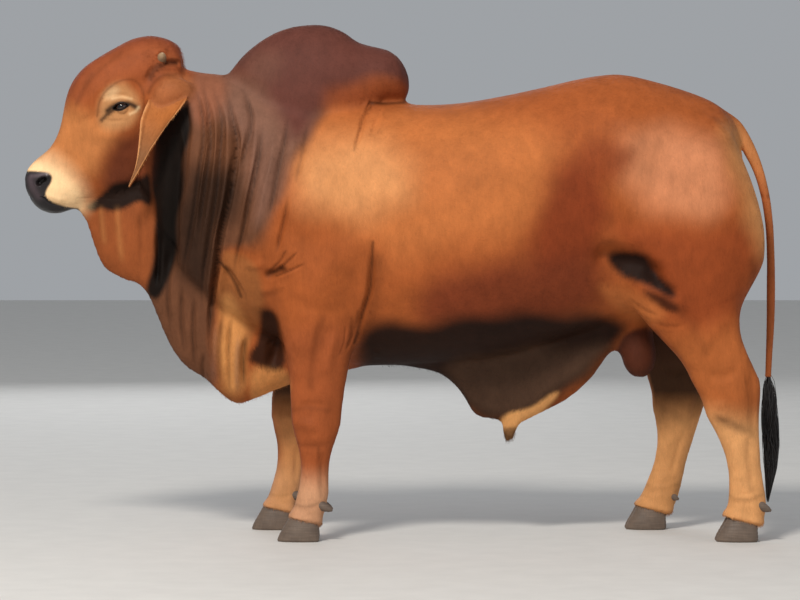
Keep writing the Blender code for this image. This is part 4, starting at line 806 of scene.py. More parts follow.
# Marks of the coat and of painted light and shade: colour, strength, softness of the border and outline, seen from the
# side.
coatAreas = [
    # Lighter upper barrel and loin: partly the coat's tone, partly a painted highlight where the light falls.
    ("lit", 0.9, 18, [(-31.8, 135), (-8, 140), (25.4, 136), (40, 134), (50, 128), (50, 118), (46, 106), (36, 98),
                      (14, 95), (-6, 90), (-19, 98), (-28.6, 115.6)]),
    # Painted highlight on the shoulder.
    ("shoulderHighlight", 0.85, 16, [(-33, 124), (-22, 129), (-6, 128), (4, 120), (2, 108), (-14, 104), (-33, 107)]),
    ("base", 0.8, 10, [(-34, 101), (-20, 99), (-8, 97), (-5, 88), (-20, 84), (-34, 88)]),
    # Painted highlight on the hip.
    ("hipHighlight", 0.8, 13, [(70, 131), (86, 133), (101, 129), (106, 117), (102, 104), (88, 103), (76, 108), (70, 118)]),
    # Darker red round and before the hip bone: partly the coat's colour, partly painted shade.
    ("red", 0.6, 8, [(56, 126), (64, 129), (74, 125), (74, 120), (66, 114), (58, 116)]),
    ("red", 0.85, 11, [(50, 120), (58, 122), (66, 112), (66, 98), (60, 86), (44, 84), (40, 92), (44, 104), (46, 114)]),
    # Darker lower barrel: partly the coat's colour, partly painted shade where the barrel turns under.
    ("low", 0.9, 13, [(8, 84), (30, 90), (60, 92), (66, 84), (64, 72), (30, 68), (4, 68)]),
    # Painted shade under the belly.
    ("bellyShade", 0.97, 7, [(-16, 60), (-12, 68), (-6, 71), (4, 69), (14, 71), (28, 73), (44, 73), (58, 72.5), (72, 71),
                        (73, 64), (51, 42), (31.8, 34), (15.9, 46), (0, 50),
                        (-15.9, 50)]),
    ("thigh", 0.85, 12, [(66, 104), (80, 101), (96, 100), (109.7, 103), (115, 90), (110.7, 73.6), (95.4, 67.2),
                         (82, 74), (74, 88)]),
    # Painted highlight along the rear of the rump and buttock.
    ("rumpHighlight", 0.8, 11, [(102, 131), (109, 134), (119, 126), (124, 112), (124, 92), (116, 90), (111, 102), (107, 118)]),
    # Painted shadow in the sunken flank.
    ("hollowShadow", 0.97, 3.2, [(65, 91.6), (70, 94), (77, 92), (80.6, 88), (88.4, 81), (86.6, 78), (79, 82), (75, 82.6),
                           (69.4, 85)]),
    ("hollowShadow", 0.75, 3, [(77, 80.4), (82, 79.4), (88.8, 76), (87, 73), (80, 75)]),
    # Painted highlight on the fold of skin below the sunken flank.
    ("lit", 0.7, 5, [(63, 83), (67, 82), (74, 80), (80, 76), (84, 72), (80, 69), (71, 73)]),
    ("leg", 0.85, 11, [(-39, 68), (-26, 70), (-14, 68), (-14, 64.7), (-16, 45.6), (-19, 29.7), (-20, -2), (-50, -2),
                      (-46, 45.6)]),
    ("fetlock", 0.7, 12, [(-60, 21), (-38, 24), (-26, 19), (-10, 22), (-10, -2), (-60, -2)]),
    # Painted highlight on the lower thighs above the hocks.
    ("lit", 0.4, 12, [(86, 68), (118, 68), (120, 40), (84, 40)]),
    ("hock", 0.9, 12, [(66, 40), (92.2, 42), (126, 39), (126, -2), (66, -2)]),
    ("neckLow", 1.0, 6, [(-66.8, 153), (-55.3, 152), (-44, 147.4), (-32, 145), (-23, 138), (-27, 132), (-32.6, 124),
                         (-37, 116), (-39, 108), (-41.5, 100), (-45, 94), (-51, 93.6), (-56, 94), (-57.6, 89.5),
                         (-59.1, 77.4), (-60.4, 64.7), (-59.8, 46), (-66, 44), (-78, 56), (-86, 68), (-90, 78),
                         (-82, 89.5), (-79, 99.7), (-78.5, 115), (-77, 125), (-72, 134), (-68.7, 140)]),
    ("neck", 0.95, 11, [(-68, 121), (-60, 120), (-53, 119), (-49, 114), (-51, 106), (-57.6, 99), (-60, 88),
                        (-62, 80), (-68, 82), (-74, 92), (-72, 108)]),
    # Painted highlight on the neck where the light falls.
    ("neckLit", 0.95, 8, [(-60, 153), (-44, 146), (-26, 138.5), (-29.9, 131), (-36, 118.7), (-40, 109.2),
                          (-43.6, 100), (-46.4, 102), (-47, 112.4), (-48.4, 122), (-51, 130), (-57, 136),
                          (-60.6, 140)]),
    ("neckTop", 0.9, 6, [(-69, 153), (-57, 153), (-56, 140), (-60, 134), (-67, 132), (-69, 140)]),
    ("hump", 1.0, 9, [(-57, 150.5), (-52, 159), (-42, 166), (-30.2, 170), (-17.5, 169), (-4, 163), (6, 153),
                      (9, 144.2), (2.2, 144), (-1.6, 146.4), (-6.7, 147.4), (-14.6, 146), (-22, 141), (-29, 132),
                      (-34, 128), (-37.6, 133), (-41, 141), (-50.9, 147.4)]),
    # Painted highlight on the front of the hump.
    ("neckLit", 0.35, 10, [(-54, 146), (-50, 154), (-44, 159), (-38, 156), (-42, 146), (-48, 142)]),
    ("humpLow", 0.8, 8, [(-26, 143), (-16, 147), (-4, 146.6), (5, 146), (5, 140), (-8, 139.6), (-20, 138)]),
    ("lobe", 1.0, 3, [(-57.6, 91), (-59.1, 77.4), (-60.4, 64.7), (-60.4, 42), (-51, 36), (-49.2, 58.3),
                      (-46.6, 67.9), (-43, 77.4), (-44, 86), (-50, 91), (-55.3, 93.6)]),
    # Painted highlights on the lobes of the dewlap and brisket.
    ("lobeLit", 0.95, 5, [(-57.6, 78), (-52.6, 78), (-49.6, 64), (-50.6, 48), (-57, 45), (-58.4, 60)]),
    ("lobeLit", 0.8, 3, [(-49.4, 55), (-36.9, 56.4), (-34, 44), (-49, 42)]),
    # Painted shadow between the brisket and the foreleg.
    ("deepShadow", 0.9, 3, [(-46, 75), (-38.8, 73.6), (-36, 54), (-48.6, 55), (-48, 60), (-45.2, 63)]),
    ("throat", 0.95, 4, [(-108, 107), (-86, 112.4), (-79, 109), (-77.6, 99.7), (-80, 80), (-89, 76), (-102, 88)]),
    # Painted shadow in the strip behind the jaw and ear.
    ("deepShadow", 0.97, 2.6, [(-74, 141), (-66.8, 142), (-67.4, 130), (-69.4, 119), (-71, 105), (-72.2, 93), (-74.4, 83),
                        (-78, 76), (-83, 79), (-80.6, 88), (-78.8, 96), (-79.8, 106), (-80.4, 118), (-80, 126),
                        (-78, 133)]),
    ("sheath", 0.75, 7, [(12.7, 58), (66, 63), (70, 60), (51, 46), (32, 36), (18, 46)]),
    ("strip", 0.9, 2, [(31, 36), (36, 39.5), (42, 41.5), (50, 46.5), (53, 46), (46, 40), (40, 33), (36, 28), (32, 28)]),
    ("dark", 0.75, 1.6, [(30, 35), (40, 35), (40, 26), (30, 26)]),
    ("dark", 0.5, 3, [(100.6, 40.6), (105, 39.4), (110, 37.4), (111, 34.8), (107, 34.8), (102, 37.6)]),
    # The scrotum's dark brown, deepened by painted shade.
    ("scrotum", 0.9, 2, [(70, 60), (74, 68), (84, 68), (87, 50), (70, 48)]),
    ("forehead", 0.9, 8, [(-100, 156), (-90, 162), (-80.5, 165), (-69, 162), (-67, 154), (-70, 146), (-77, 142),
                          (-82, 146), (-90.2, 149), (-96.6, 145), (-101, 140), (-106, 138), (-110, 146)]),
    ("poll", 0.7, 5, [(-112, 140), (-108, 152), (-96, 160), (-85.3, 164), (-77.3, 167), (-68, 162), (-67, 153.5),
                      (-70, 154), (-78, 160.4), (-88, 158.6), (-98, 153.6), (-105, 146)]),
    ("earTop", 0.85, 4, [(-81, 138), (-79.6, 145.6), (-75.4, 149.4), (-69, 148.8), (-65.6, 145), (-66.4, 142),
                         (-70, 139.6), (-76, 137)]),
    ("face", 0.95, 8, [(-112, 140), (-105, 139), (-97.6, 136), (-91, 133), (-90.6, 128), (-95, 124), (-98, 117),
                       (-103.7, 117), (-110, 121), (-116, 125), (-113, 134)]),
    ("cheek", 0.9, 8, [(-92, 128.6), (-85, 131), (-81, 134), (-80, 114), (-89, 111), (-97, 112), (-96, 119)]),
    # Painted shadow under the jaw.
    ("jawShadow", 0.97, 2.4, [(-102.4, 106.8), (-99.2, 109.1), (-95.3, 112), (-92.7, 114.4), (-88.6, 115), (-84.4, 116),
                        (-81.1, 118), (-79.9, 115.5), (-79.9, 109.1), (-81.8, 107.1), (-84.4, 109.1), (-88.6, 106.5),
                        (-92.7, 105.2), (-96.9, 106.5), (-99.8, 105.2)]),
    ("cream", 0.7, 9, [(-121, 123), (-114, 124.6), (-107, 120), (-102.4, 114), (-101.4, 108.4), (-103, 104.6),
                       (-109.5, 102), (-118, 102), (-125, 110.4), (-125, 118.7)]),
    ("cream", 0.8, 4, [(-119, 121), (-113.4, 120.4), (-107.6, 116.6), (-104, 112), (-103, 107.4), (-105, 104),
                       (-118, 102), (-125, 110.4), (-124, 118.7)]),
    ("orbit", 0.8, 4, [(-97.2, 134.6), (-96.6, 141.3), (-94.3, 144.5), (-91.8, 146.2), (-88.6, 146.6), (-86, 144),
                       (-84, 141), (-83.6, 137), (-86, 133), (-90, 131.6), (-95, 131.6)]),
    # Painted highlight over the eye.
    ("cream", 0.5, 3.4, [(-95.4, 142), (-93, 145.4), (-90.4, 145), (-91, 142.4), (-93.4, 141.4)]),
    ("black", 1.0, 0.9, [(-120, 118.3), (-117.2, 118.3), (-113.3, 117.8), (-112.2, 116.5), (-112.5, 114.6),
                         (-114, 112.5), (-114.7, 110.4), (-112.9, 108.5), (-109.6, 107.1), (-105.9, 106.4),
                         (-103.9, 106.2), (-103.7, 100), (-124, 98), (-127, 118.4)]),
]
# Marks along lines, many of them painted shade or highlight: colour, strength, half breadth and path. "shade" is
# painted shade that darkens what it crosses.
coatLines = [
    ("shade", 0.4, 0.4, [(-97.4, 136.1), (-96.3, 141.3), (-93.4, 145.1), (-89.2, 147.5), (-85.3, 147.5),
                         (-83.2, 145.1), (-82.4, 136.8)]),
    ("shade", 0.25, 1.0, [(-104, 140), (-100.6, 147), (-95.4, 152), (-90, 156)]),
    # Painted highlight above the nostril.
    ("nose", 0.6, 0.7, [(-119, 116.8), (-117, 117), (-115.4, 117.4), (-113.6, 117.4)]),
    # Painted shadow in the nostril.
    ("deepShadow", 0.95, 0.8, [(-117, 114.4), (-115.6, 115), (-114, 115.9), (-113.4, 116.4)]),
    ("nose", 0.4, 1.3, [(-119.6, 116), (-118.8, 113.4), (-117, 110)]),
    ("dark", 0.75, 0.7, [(-96, 134.8), (-94.6, 136.2), (-93, 137.4), (-91.6, 138.2)]),
    ("rim", 0.9, 1.0, [(-94, 137.8), (-91.8, 139.4), (-89, 140.2), (-86.4, 139.8), (-84.6, 138.8)]),
    # Painted highlights on the lids, behind and above the eye.
    ("cream", 0.5, 0.5, [(-86.8, 136.8), (-85, 137.6), (-84, 139)]),
    ("cream", 0.35, 0.5, [(-92.4, 141.6), (-89.4, 142.2), (-86.4, 141.6)]),
    ("dark", 0.6, 1.2, [(-80.4, 148.6), (-78.6, 151.4), (-75.6, 153), (-72.6, 153.4)]),
    ("shade", 0.4, 0.7, [(-80.8, 143.6), (-79.4, 146.4), (-76.4, 149), (-72.4, 149.4)]),
    ("shade", 0.8, 0.6, [(-57.6, 89.6), (-55, 86.4), (-52.6, 82.4), (-51, 78.4)]),
    ("shade", 0.8, 1.1, [(-42, 85.6), (-39.4, 86.6), (-37, 87.6)]),
    ("shade", 0.5, 0.35, [(-41.6, 86.6), (-38, 90), (-36.4, 93)]),
    ("shade", 0.5, 0.35, [(-40, 86.4), (-36, 89.4), (-33, 92.4)]),
    ("shade", 0.5, 0.35, [(-39.4, 85), (-34.6, 87), (-30.6, 89)]),
    ("shade", 0.7, 0.5, [(-8.6, 96), (-9, 88), (-9.8, 79.6), (-11.8, 73.3), (-14.6, 63.7)]),
    ("shade", 0.3, 2.4, [(-7.4, 90), (-8, 78), (-11, 68)]),
    ("shade", 0.8, 0.6, [(-9.6, 140.4), (-4, 140.2), (1.4, 140.6)]),
    ("shade", 0.4, 0.45, [(-9, 140), (-11.4, 136), (-13.4, 130), (-14.6, 125)]),
    ("shade", 0.3, 1.3, [(-24.5, 72), (-27, 61), (-28.4, 50)]),
    ("shade", 0.22, 0.9, [(-35, 42), (-29, 43), (-23, 42)]),
    ("shade", 0.22, 0.8, [(-33, 31.4), (-28, 30.6), (-23, 31.8)]),
    ("shade", 0.35, 0.7, [(-26, 30), (-25.4, 22), (-25.4, 15)]),
    ("shade", 0.3, 0.5, [(-35.4, 12.4), (-30, 11.4), (-25, 12.8)]),
    ("shade", 0.35, 0.9, [(111, 58), (112.2, 45), (112, 34)]),
    ("shade", 0.25, 0.8, [(110.4, 33), (111.2, 24), (112, 17)]),
    ("shade", 0.3, 0.5, [(104.6, 14.6), (110, 13.6), (116, 15.2)]),
    ("shade", 0.25, 1.8, [(84, 78), (92, 71), (97, 62)]),
    ("shade", 0.3, 1.5, [(112, 90), (113, 82), (110.6, 74)]),
    ("shade", 0.35, 0.4, [(-13.4, 74), (-14.4, 69), (-16.4, 63)]),
    ("shade", 0.35, 0.4, [(-15.4, 72), (-16.4, 66), (-18.6, 60)]),
]


def rounded(outline):
    # The outline with its corners cut twice.
    corners = np.array(outline, float)
    for _ in range(2):
        following = np.roll(corners, -1, axis=0)
        corners = np.stack([corners * 0.75 + following * 0.25, corners * 0.25 + following * 0.75], 1).reshape(-1, 2)
    return corners


def areaShare(flat, outline, softness):
    # How far inside an outline each point lies: 0 outside, 1 inside, eased across the border.
    share = np.zeros(len(flat))
    corners = rounded(outline)
    low, high = corners.min(axis=0) - softness, corners.max(axis=0) + softness
    near = np.flatnonzero(boxed(flat, low, high))
    x, z = flat[near].T
    inside, apart = np.zeros(len(near), bool), np.full(len(near), 1e9)
    for (x0, z0), (x1, z1) in zip(corners, np.roll(corners, -1, axis=0)):
        if z0 != z1:
            inside ^= ((z0 > z) != (z1 > z)) & (x < (x1 - x0) * (z - z0) / (z1 - z0) + x0)
        along = (((x - x0) * (x1 - x0) + (z - z0) * (z1 - z0)) / ((x1 - x0) ** 2 + (z1 - z0) ** 2)).clip(0, 1)
        apart = np.minimum(apart, np.hypot(x - x0 - along * (x1 - x0), z - z0 - along * (z1 - z0)))
    share[near] = soft((np.where(inside, apart, -apart) / softness + 0.5).clip(0, 1))
    return share


def wander(flat):
    # How far the borders of the marks wander, in centimetres: less on the head.
    return np.interp(flat[:, 0], [-90, -70], [0.1, 0.6])


# Painted shade along the sunken folds of neck and dewlap, and painted highlight along the raised ones.
creases = {
    "strength": 0.85,
    "least": 0.35,      # the share that the faintest fold keeps
    "perLift": 0.4,
    "reach": 2.4,       # how far the colour runs, in breadths of the fold
    "fade": 0.2,
    "narrow": 0.75,     # how broad the painted shade of a sunken fold is, in breadths
    "throatEnd": -80,   # folds that start ahead of this x are the throat's
    "throat": 0.6,
}
insides = {
    # The inner sides of the legs: strength of their pale colour and of the painted shadow on their upper part, where,
    # and how softly they end.
    "pale": 0.75,
    "paleBelow": 62,
    "paleFade": 12,
    "dark": 0.92,
    "shadowFrom": 36,
    "shadowTo": 82,
    "shadowFade": 10,
}


def painted(mesh):
    points, facing = places(mesh), normals(mesh)
    flat = flatView(points, "side")
    strayed = flat.copy()
    strayed[:, 0] += np.sin(flat[:, 1] * 0.33 + 1.3 * np.sin(flat[:, 0] * 0.21)) * wander(flat)
    strayed[:, 1] += np.sin(flat[:, 0] * 0.29 + 1.7 * np.sin(flat[:, 1] * 0.17)) * wander(flat)
    inks = {name: linear(colour) for name, colour in coatColours.items()}
    colours = np.tile(inks["base"], (len(points), 1))
    x, y, z = points.T

    def lay(name, share):
        nonlocal colours
        target = colours * 0.15 if name == "shade" else inks[name]
        colours = colours + (target - colours) * share[:, None]

    for name, strength, softness, outline in coatAreas:
        share = strength * areaShare(strayed, outline, softness)
        lay(name, share)
    for name, strength, breadth, path in coatLines:
        near, apart, _, _ = nearPath(flat, path, 3 * breadth)
        share = np.zeros(len(points))
        share[near] = strength * np.exp(-((apart / breadth) ** 2))
        lay(name, share)
    # Painted shade along the sunken folds and painted highlight along the raised ones. The neck's last two folds lie in
    # the painted shadow strip behind the jaw, and need no colour of their own.
    for path, lift, breadth in neckFolds[:-2] + dewlapFolds:
        near, apart, along, _ = nearPath(flat, path, creases["reach"] * breadth)
        share = np.zeros(len(points))
        fade = (np.minimum(along, 1 - along) / creases["fade"]).clip(0, 1)
        narrow = breadth * (creases["narrow"] if lift < 0 else 1)
        strength = creases["strength"] * min(1, creases["least"] + creases["perLift"] * abs(lift))
        share[near] = strength * np.exp(-((apart / narrow) ** 2)) * fade
        onThroat = path[0][0] <= creases["throatEnd"]
        ridge = "lobeLit" if onThroat else "neckLit"
        lay("shade" if lift < 0 else ridge, share * (creases["throat"] if onThroat else 1))
    inward = (-facing[:, 1] * np.sign(y)).clip(0, 1)
    lowered = ((insides["paleBelow"] - z) / insides["paleFade"]).clip(0, 1) * (abs(y) > 8)
    lay("inner", insides["pale"] * inward * lowered)
    # Painted shadow on the inner sides of the upper legs.
    risen = ((z - insides["shadowFrom"]) / insides["shadowFade"]).clip(0, 1)
    between = risen * ((insides["shadowTo"] - z) / insides["shadowFade"]).clip(0, 1)
    between = between * (abs(y) > 5) * ((x < -6) | (x > 66))
    lay("innerShadow", insides["dark"] * (inward * 1.6).clip(0, 1) * between)
    onTail, onLeaf = values(mesh, "onTail"), values(mesh, "onLeaf")
    lay("tail", 0.9 * onTail * ((132 - z) / 22).clip(0, 1))
    leaf = values(mesh, "leaf", 3)
    inside = onLeaf * leaf[:, 2]
    lay("earBack", onLeaf)
    lay("earInside", inside)
    lay("earTop", onLeaf * ((0.3 - leaf[:, 0]) / 0.2).clip(0, 1))
    lay("earDeep", inside * ((leaf[:, 0] - 0.35) / 0.35).clip(0, 0.85))
    # Painted shade inside the curled rims of the ears.
    lay("shade", 0.3 * inside * np.exp(-(((abs(leaf[:, 1]) - 0.84) / 0.05) ** 2)))
    lay("earRim", 0.9 * onLeaf * ((abs(leaf[:, 1]) - 0.9) / 0.06).clip(0, 1) * ((leaf[:, 0] - 0.2) / 0.1).clip(0, 1))
    bare = areaShare(flat, coatAreas[-1][3], 0.9)
    for side in (-1, 1):
        near, local, opening = eyeOpening(points, side)
        share = np.zeros(len(points))
        share[near] = np.exp(-((np.maximum(-opening - 0.28, 0) / 0.24) ** 2)) * (abs(local[:, 0]) < 3.0)
        share[near] *= (local[:, 2] > 0.5)
        lay("rim", share)
        bare = np.maximum(bare, share)
    setValues(mesh, "markingsAndPaintedLight", np.concatenate([colours, np.ones((len(points), 1))], axis=1))
    setValues(mesh, "bare", bare)


class Wire:
    # The output of a shader node. Arithmetic on it adds Math nodes.
    def __init__(self, tree, socket):
        self.tree, self.socket = tree, socket

    def node(self, kind, settings, links, out=0):
        made = self.tree.nodes.new(kind)
        for name, value in settings.items():
            setattr(made, name, value)
        for name, value in links.items():
            if isinstance(value, Wire):
                self.tree.links.new(value.socket, made.inputs[name])
            else:
                made.inputs[name].default_value = value
        return Wire(self.tree, made.outputs[out])

    def maths(self, operation, a, b):
        return self.node("ShaderNodeMath", {"operation": operation}, {0: a, 1: b})

    def __add__(self, other):
        return self.maths("ADD", self, other)

    def __radd__(self, other):
        return self.maths("ADD", other, self)

    def __sub__(self, other):
        return self.maths("SUBTRACT", self, other)

    def __rsub__(self, other):
        return self.maths("SUBTRACT", other, self)

    def __mul__(self, other):
        return self.maths("MULTIPLY", self, other)

    def __rmul__(self, other):
        return self.maths("MULTIPLY", other, self)

    def clamped(self):
        return self.node("ShaderNodeClamp", {}, {0: self})


def colourMix(share, a, b, blend="MIX"):
    source = next(wire for wire in (share, a, b) if isinstance(wire, Wire))
    return source.node("ShaderNodeMix", {"data_type": "RGBA", "blend_type": blend}, {0: share, 6: a, 7: b}, 2)


def opaque(colour):
    return (*linear(colour), 1.0)


def newMaterial(name, **constants):
    # A material with its shader's constant sockets set; returns it, a start wire and the shader.
    made = bpy.data.materials.new(name)
    made.use_nodes = True
    tree = made.node_tree
    shader = tree.nodes["Principled BSDF"]
    for key, value in constants.items():
        shader.inputs[key.replace("_", " ")].default_value = value
    place = tree.nodes.new("ShaderNodeTexCoord")
    return made, Wire(tree, place.outputs["Object"]), shader


def attribute(start, name, out):
    return start.node("ShaderNodeAttribute", {"attribute_name": name}, {}, out)


def noise(start, scale, stretch, detail):
    moved = start.node("ShaderNodeMapping", {}, {"Vector": start, "Scale": stretch})
    inputs = {"Vector": moved, "Scale": scale, "Detail": detail, "Roughness": 0.55}
    return moved.node("ShaderNodeTexNoise", {}, inputs)


def brightened(colour, factor):
    # Scales a colour by a value.
    grey = factor.node("ShaderNodeCombineColor", {}, {0: factor, 1: factor, 2: factor})
    return colourMix(1.0, colour, grey, "MULTIPLY")


def bumped(height, strength, distance):
    return height.node("ShaderNodeBump", {}, {"Height": height, "Strength": strength, "Distance": distance})


def connect(shader, **wires):
    for key, wire in wires.items():
        wire.tree.links.new(wire.socket, shader.inputs[key.replace("_", " ")])


pelt = {
    # Scale, stretch and detail of each pattern; cobbles are the grain of the bare skin.
    "broad": (5.0, (1, 1, 1), 2.0),
    "patches": (26.0, (1, 1, 0.6), 3.0),
    "streaks": (210.0, (0.8, 0.8, 0.16), 2.0),
    "hairs": (900.0, (1, 1, 0.22), 2.0),
    "cobbles": 190.0,
    "relief": (0.5, 0.0016),    # strength and depth
    "rough": 0.52,
    "wet": 0.4,                 # the shine of the bare skin
}


def hideMaterial():
    made, start, shader = newMaterial("hide", Specular_IOR_Level=0.1, Coat_Roughness=0.32)
    markingsAndPaintedLight = attribute(start, "markingsAndPaintedLight", 0)
    bare = attribute(start, "bare", 2)
    broad, patches, streaks, hairs = (noise(start, *pelt[name]) for name in ("broad", "patches", "streaks", "hairs"))
    cobbles = start.node("ShaderNodeTexVoronoi", {"feature": "DISTANCE_TO_EDGE"},
                         {"Vector": start, "Scale": pelt["cobbles"]})
    tone = 0.3 + broad * 0.5 + patches * 0.5 + streaks * 0.22 + hairs * 0.2
    coloured = brightened(markingsAndPaintedLight, tone)
    furred = 1 - bare
    height = streaks * 0.5 + hairs * 0.5
    height = height * furred + cobbles.maths("MINIMUM", cobbles * 6.0, 0.6) * bare
    rough = pelt["rough"] + streaks * 0.16 - bare * 0.2
    connect(shader, Base_Color=coloured, Roughness=rough, Coat_Weight=bare * pelt["wet"],
            Normal=bumped(height, *pelt["relief"]))
    return made


coat = {
    "count": 180000,
    "perPiece": 45000,
    "broad": 0.14,
    "thick": 0.012,
    "rise": 0.035,
    "sunk": 0.03,
    "seed": 7,
    "patch": 0.003,         # the size of a tuft in the unwrap
    "margin": 0.004,        # how far the unwrap stays from its border
    "layoutGrain": 3.2,     # the mesh that is unwrapped, and the sharpest turn inside one of its patches
    "layoutAngle": 66,
    "lean": 0.22,           # how much the tufts stray from the lie of the hair
    "mixing": 30,           # how softly one lie runs into the next
    "lockThick": 0.35,      # the thickness of a lock, as a share of its breadth
    # Low x and z, high x and z, length of the tufts and how closely they stand; the last that fits counts.
    "regions": [
        ((-130, 0, 130, 170), 1.1, 1.0),
        ((-130, 112, -84, 170), 0.6, 2.0),
        ((-84, 130, -68, 170), 1.0, 2.0),
        ((-106, 76, -58, 112), 1.1, 1.2),
        ((-80, 36, -30, 76), 1.3, 1.3),
        ((-50, 0, -12, 50), 0.8, 1.6),
        ((70, 0, 126, 50), 0.85, 1.6),
        ((10, 28, 66, 60), 1.3, 1.3),
    ],
}
# The lie of the hair seen from the side: x, z, and the way it points.
lie = [
    (-117, 120, -0.6, -0.6), (-111, 128, -0.5, -0.85), (-108, 138, -0.3, -0.95), (-105, 149, 0.2, 0.95),
    (-96, 157, 0.7, 0.6), (-84, 161, 1, 0.1), (-96, 124, 0.5, -0.8), (-96, 112, 0.9, -0.2), (-86, 122, 0.6, -0.8),
    (-86, 150, 0.9, -0.2), (-78, 130, -0.25, -1), (-62, 140, 0.2, -1), (-60, 120, 0.1, -1), (-50, 100, 0.2, -1),
    (-90, 98, 0.05, -1), (-70, 75, 0.1, -1), (-55, 55, 0.1, -1), (-30, 158, 0.7, -0.7), (-8, 152, 0.9, -0.4),
    (-42, 150, 0.4, -0.9), (-28, 118, 0.3, -0.95), (-20, 90, 0.3, -0.95), (10, 115, 0.95, -0.3),
    (40, 125, 1, -0.15), (10, 75, 0.9, -0.4), (45, 85, 0.95, -0.3), (72, 140, 0.85, -0.4), (95, 130, 0.6, -0.8),
    (112, 110, 0.1, -1), (88, 100, 0.35, -0.95), (75, 80, 0.2, -1), (95, 65, 0.3, -1), (108, 30, 0.1, -1),
    (-30, 45, 0.08, -1), (-30, 15, 0.1, -1), (20, 55, 0.9, -0.4), (45, 44, -0.4, -0.9), (120, 90, 0.05, -1),
    (80, 60, 0.1, -1),
]


def trianglesMesh(name, points, triangles, uv=None, facing=None):
    mesh = bpy.data.meshes.new(name)
    mesh.vertices.add(len(points))
    mesh.vertices.foreach_set("co", (points * cm + shift).ravel())
    mesh.loops.add(triangles.size)
    mesh.loops.foreach_set("vertex_index", triangles.ravel())
    mesh.polygons.add(len(triangles))
    mesh.polygons.foreach_set("loop_start", np.arange(len(triangles)) * 3)
    if uv is not None:
        layer = mesh.uv_layers.new(name="OFBake")
        layer.uv.foreach_set("vector", uv[triangles.ravel()].ravel())
    mesh.update(calc_edges=True)
    mesh.shade_smooth()
    if facing is not None:
        mesh.normals_split_custom_set_from_vertices(facing)
    return inScene(name, mesh)


def unwrapped(body):
    # A coarse copy of the skin, unwrapped, as a tree of its faces with their corners and places in the unwrap.
    proxy = body.copy()
    proxy.data = body.data.copy()
    bpy.context.scene.collection.objects.link(proxy)
    remeshed(proxy, coat["layoutGrain"])
    bpy.context.view_layer.objects.active = proxy
    bpy.ops.object.select_all(action="DESELECT")
    proxy.select_set(True)
    bpy.ops.object.mode_set(mode="EDIT")
    bpy.ops.mesh.select_all(action="SELECT")
    bpy.ops.uv.smart_project(angle_limit=math.radians(coat["layoutAngle"]), island_margin=coat["margin"])
    bpy.ops.object.mode_set(mode="OBJECT")
    mesh = proxy.data
    corners = [v.co.copy() for v in mesh.vertices]
    faces = [tuple(p.vertices) for p in mesh.polygons]
    layer = mesh.uv_layers[0].uv
    laid = [[layer[i].vector.copy() for i in p.loop_indices] for p in mesh.polygons]
    bpy.data.objects.remove(proxy, do_unlink=True)
    return BVHTree.FromPolygons(corners, faces), corners, faces, laid


def unwrapPlaces(layout, points):
    tree, corners, faces, laid = layout
    out = np.empty((len(points), 2))
    for i, point in enumerate(points * cm + shift):
        spot, _, face, _ = tree.find_nearest(point)
        shares = poly_3d_calc([corners[k] for k in faces[face]], spot)
        out[i] = sum((laid[face][k] * share for k, share in enumerate(shares)), Vector((0, 0)))
    return out.clip(coat["margin"], 1 - coat["margin"])


def roots(mesh, count, seed, density):
    # Random places on the mesh: points, normals, colours with their painted light and shade, and the generator that
    # drew them.
    rng = np.random.default_rng(seed)
    mesh.calc_loop_triangles()
    corners = np.empty(len(mesh.loop_triangles) * 3, int)
    mesh.loop_triangles.foreach_get("vertices", corners)
    corners = corners.reshape(-1, 3)
    points, facing = places(mesh), normals(mesh)
    a, b, c = points[corners[:, 0]], points[corners[:, 1]], points[corners[:, 2]]
    area = np.linalg.norm(np.cross(b - a, c - a), axis=1)
    weight = area * density[corners].mean(axis=1)
    picked = rng.choice(len(corners), count, p=weight / weight.sum())
    r1, r2 = np.sqrt(rng.random(count)), rng.random(count)
    shares = np.stack([1 - r1, r1 * (1 - r2), r1 * r2], 1)

    def at(numbers):
        return (numbers[corners[picked]] * shares[..., None]).sum(axis=1)

    return at(points), at(facing), at(values(mesh, "markingsAndPaintedLight", 4)), rng


def hairWay(points, facing):
    # The way the hair lies at each point, along the surface.
    anchors = np.array(lie)
    apart = (points[:, None, 0] - anchors[None, :, 0]) ** 2 + (points[:, None, 2] - anchors[None, :, 1]) ** 2
    weight = 1 / (apart + coat["mixing"]) ** 2
    weight /= weight.sum(axis=1)[:, None]
    way = np.stack([weight @ anchors[:, 2], np.zeros(len(points)), weight @ anchors[:, 3]], 1)
    way -= facing * (way * facing).sum(axis=1)[:, None]
    return way / (np.linalg.norm(way, axis=1)[:, None] + 1e-9)


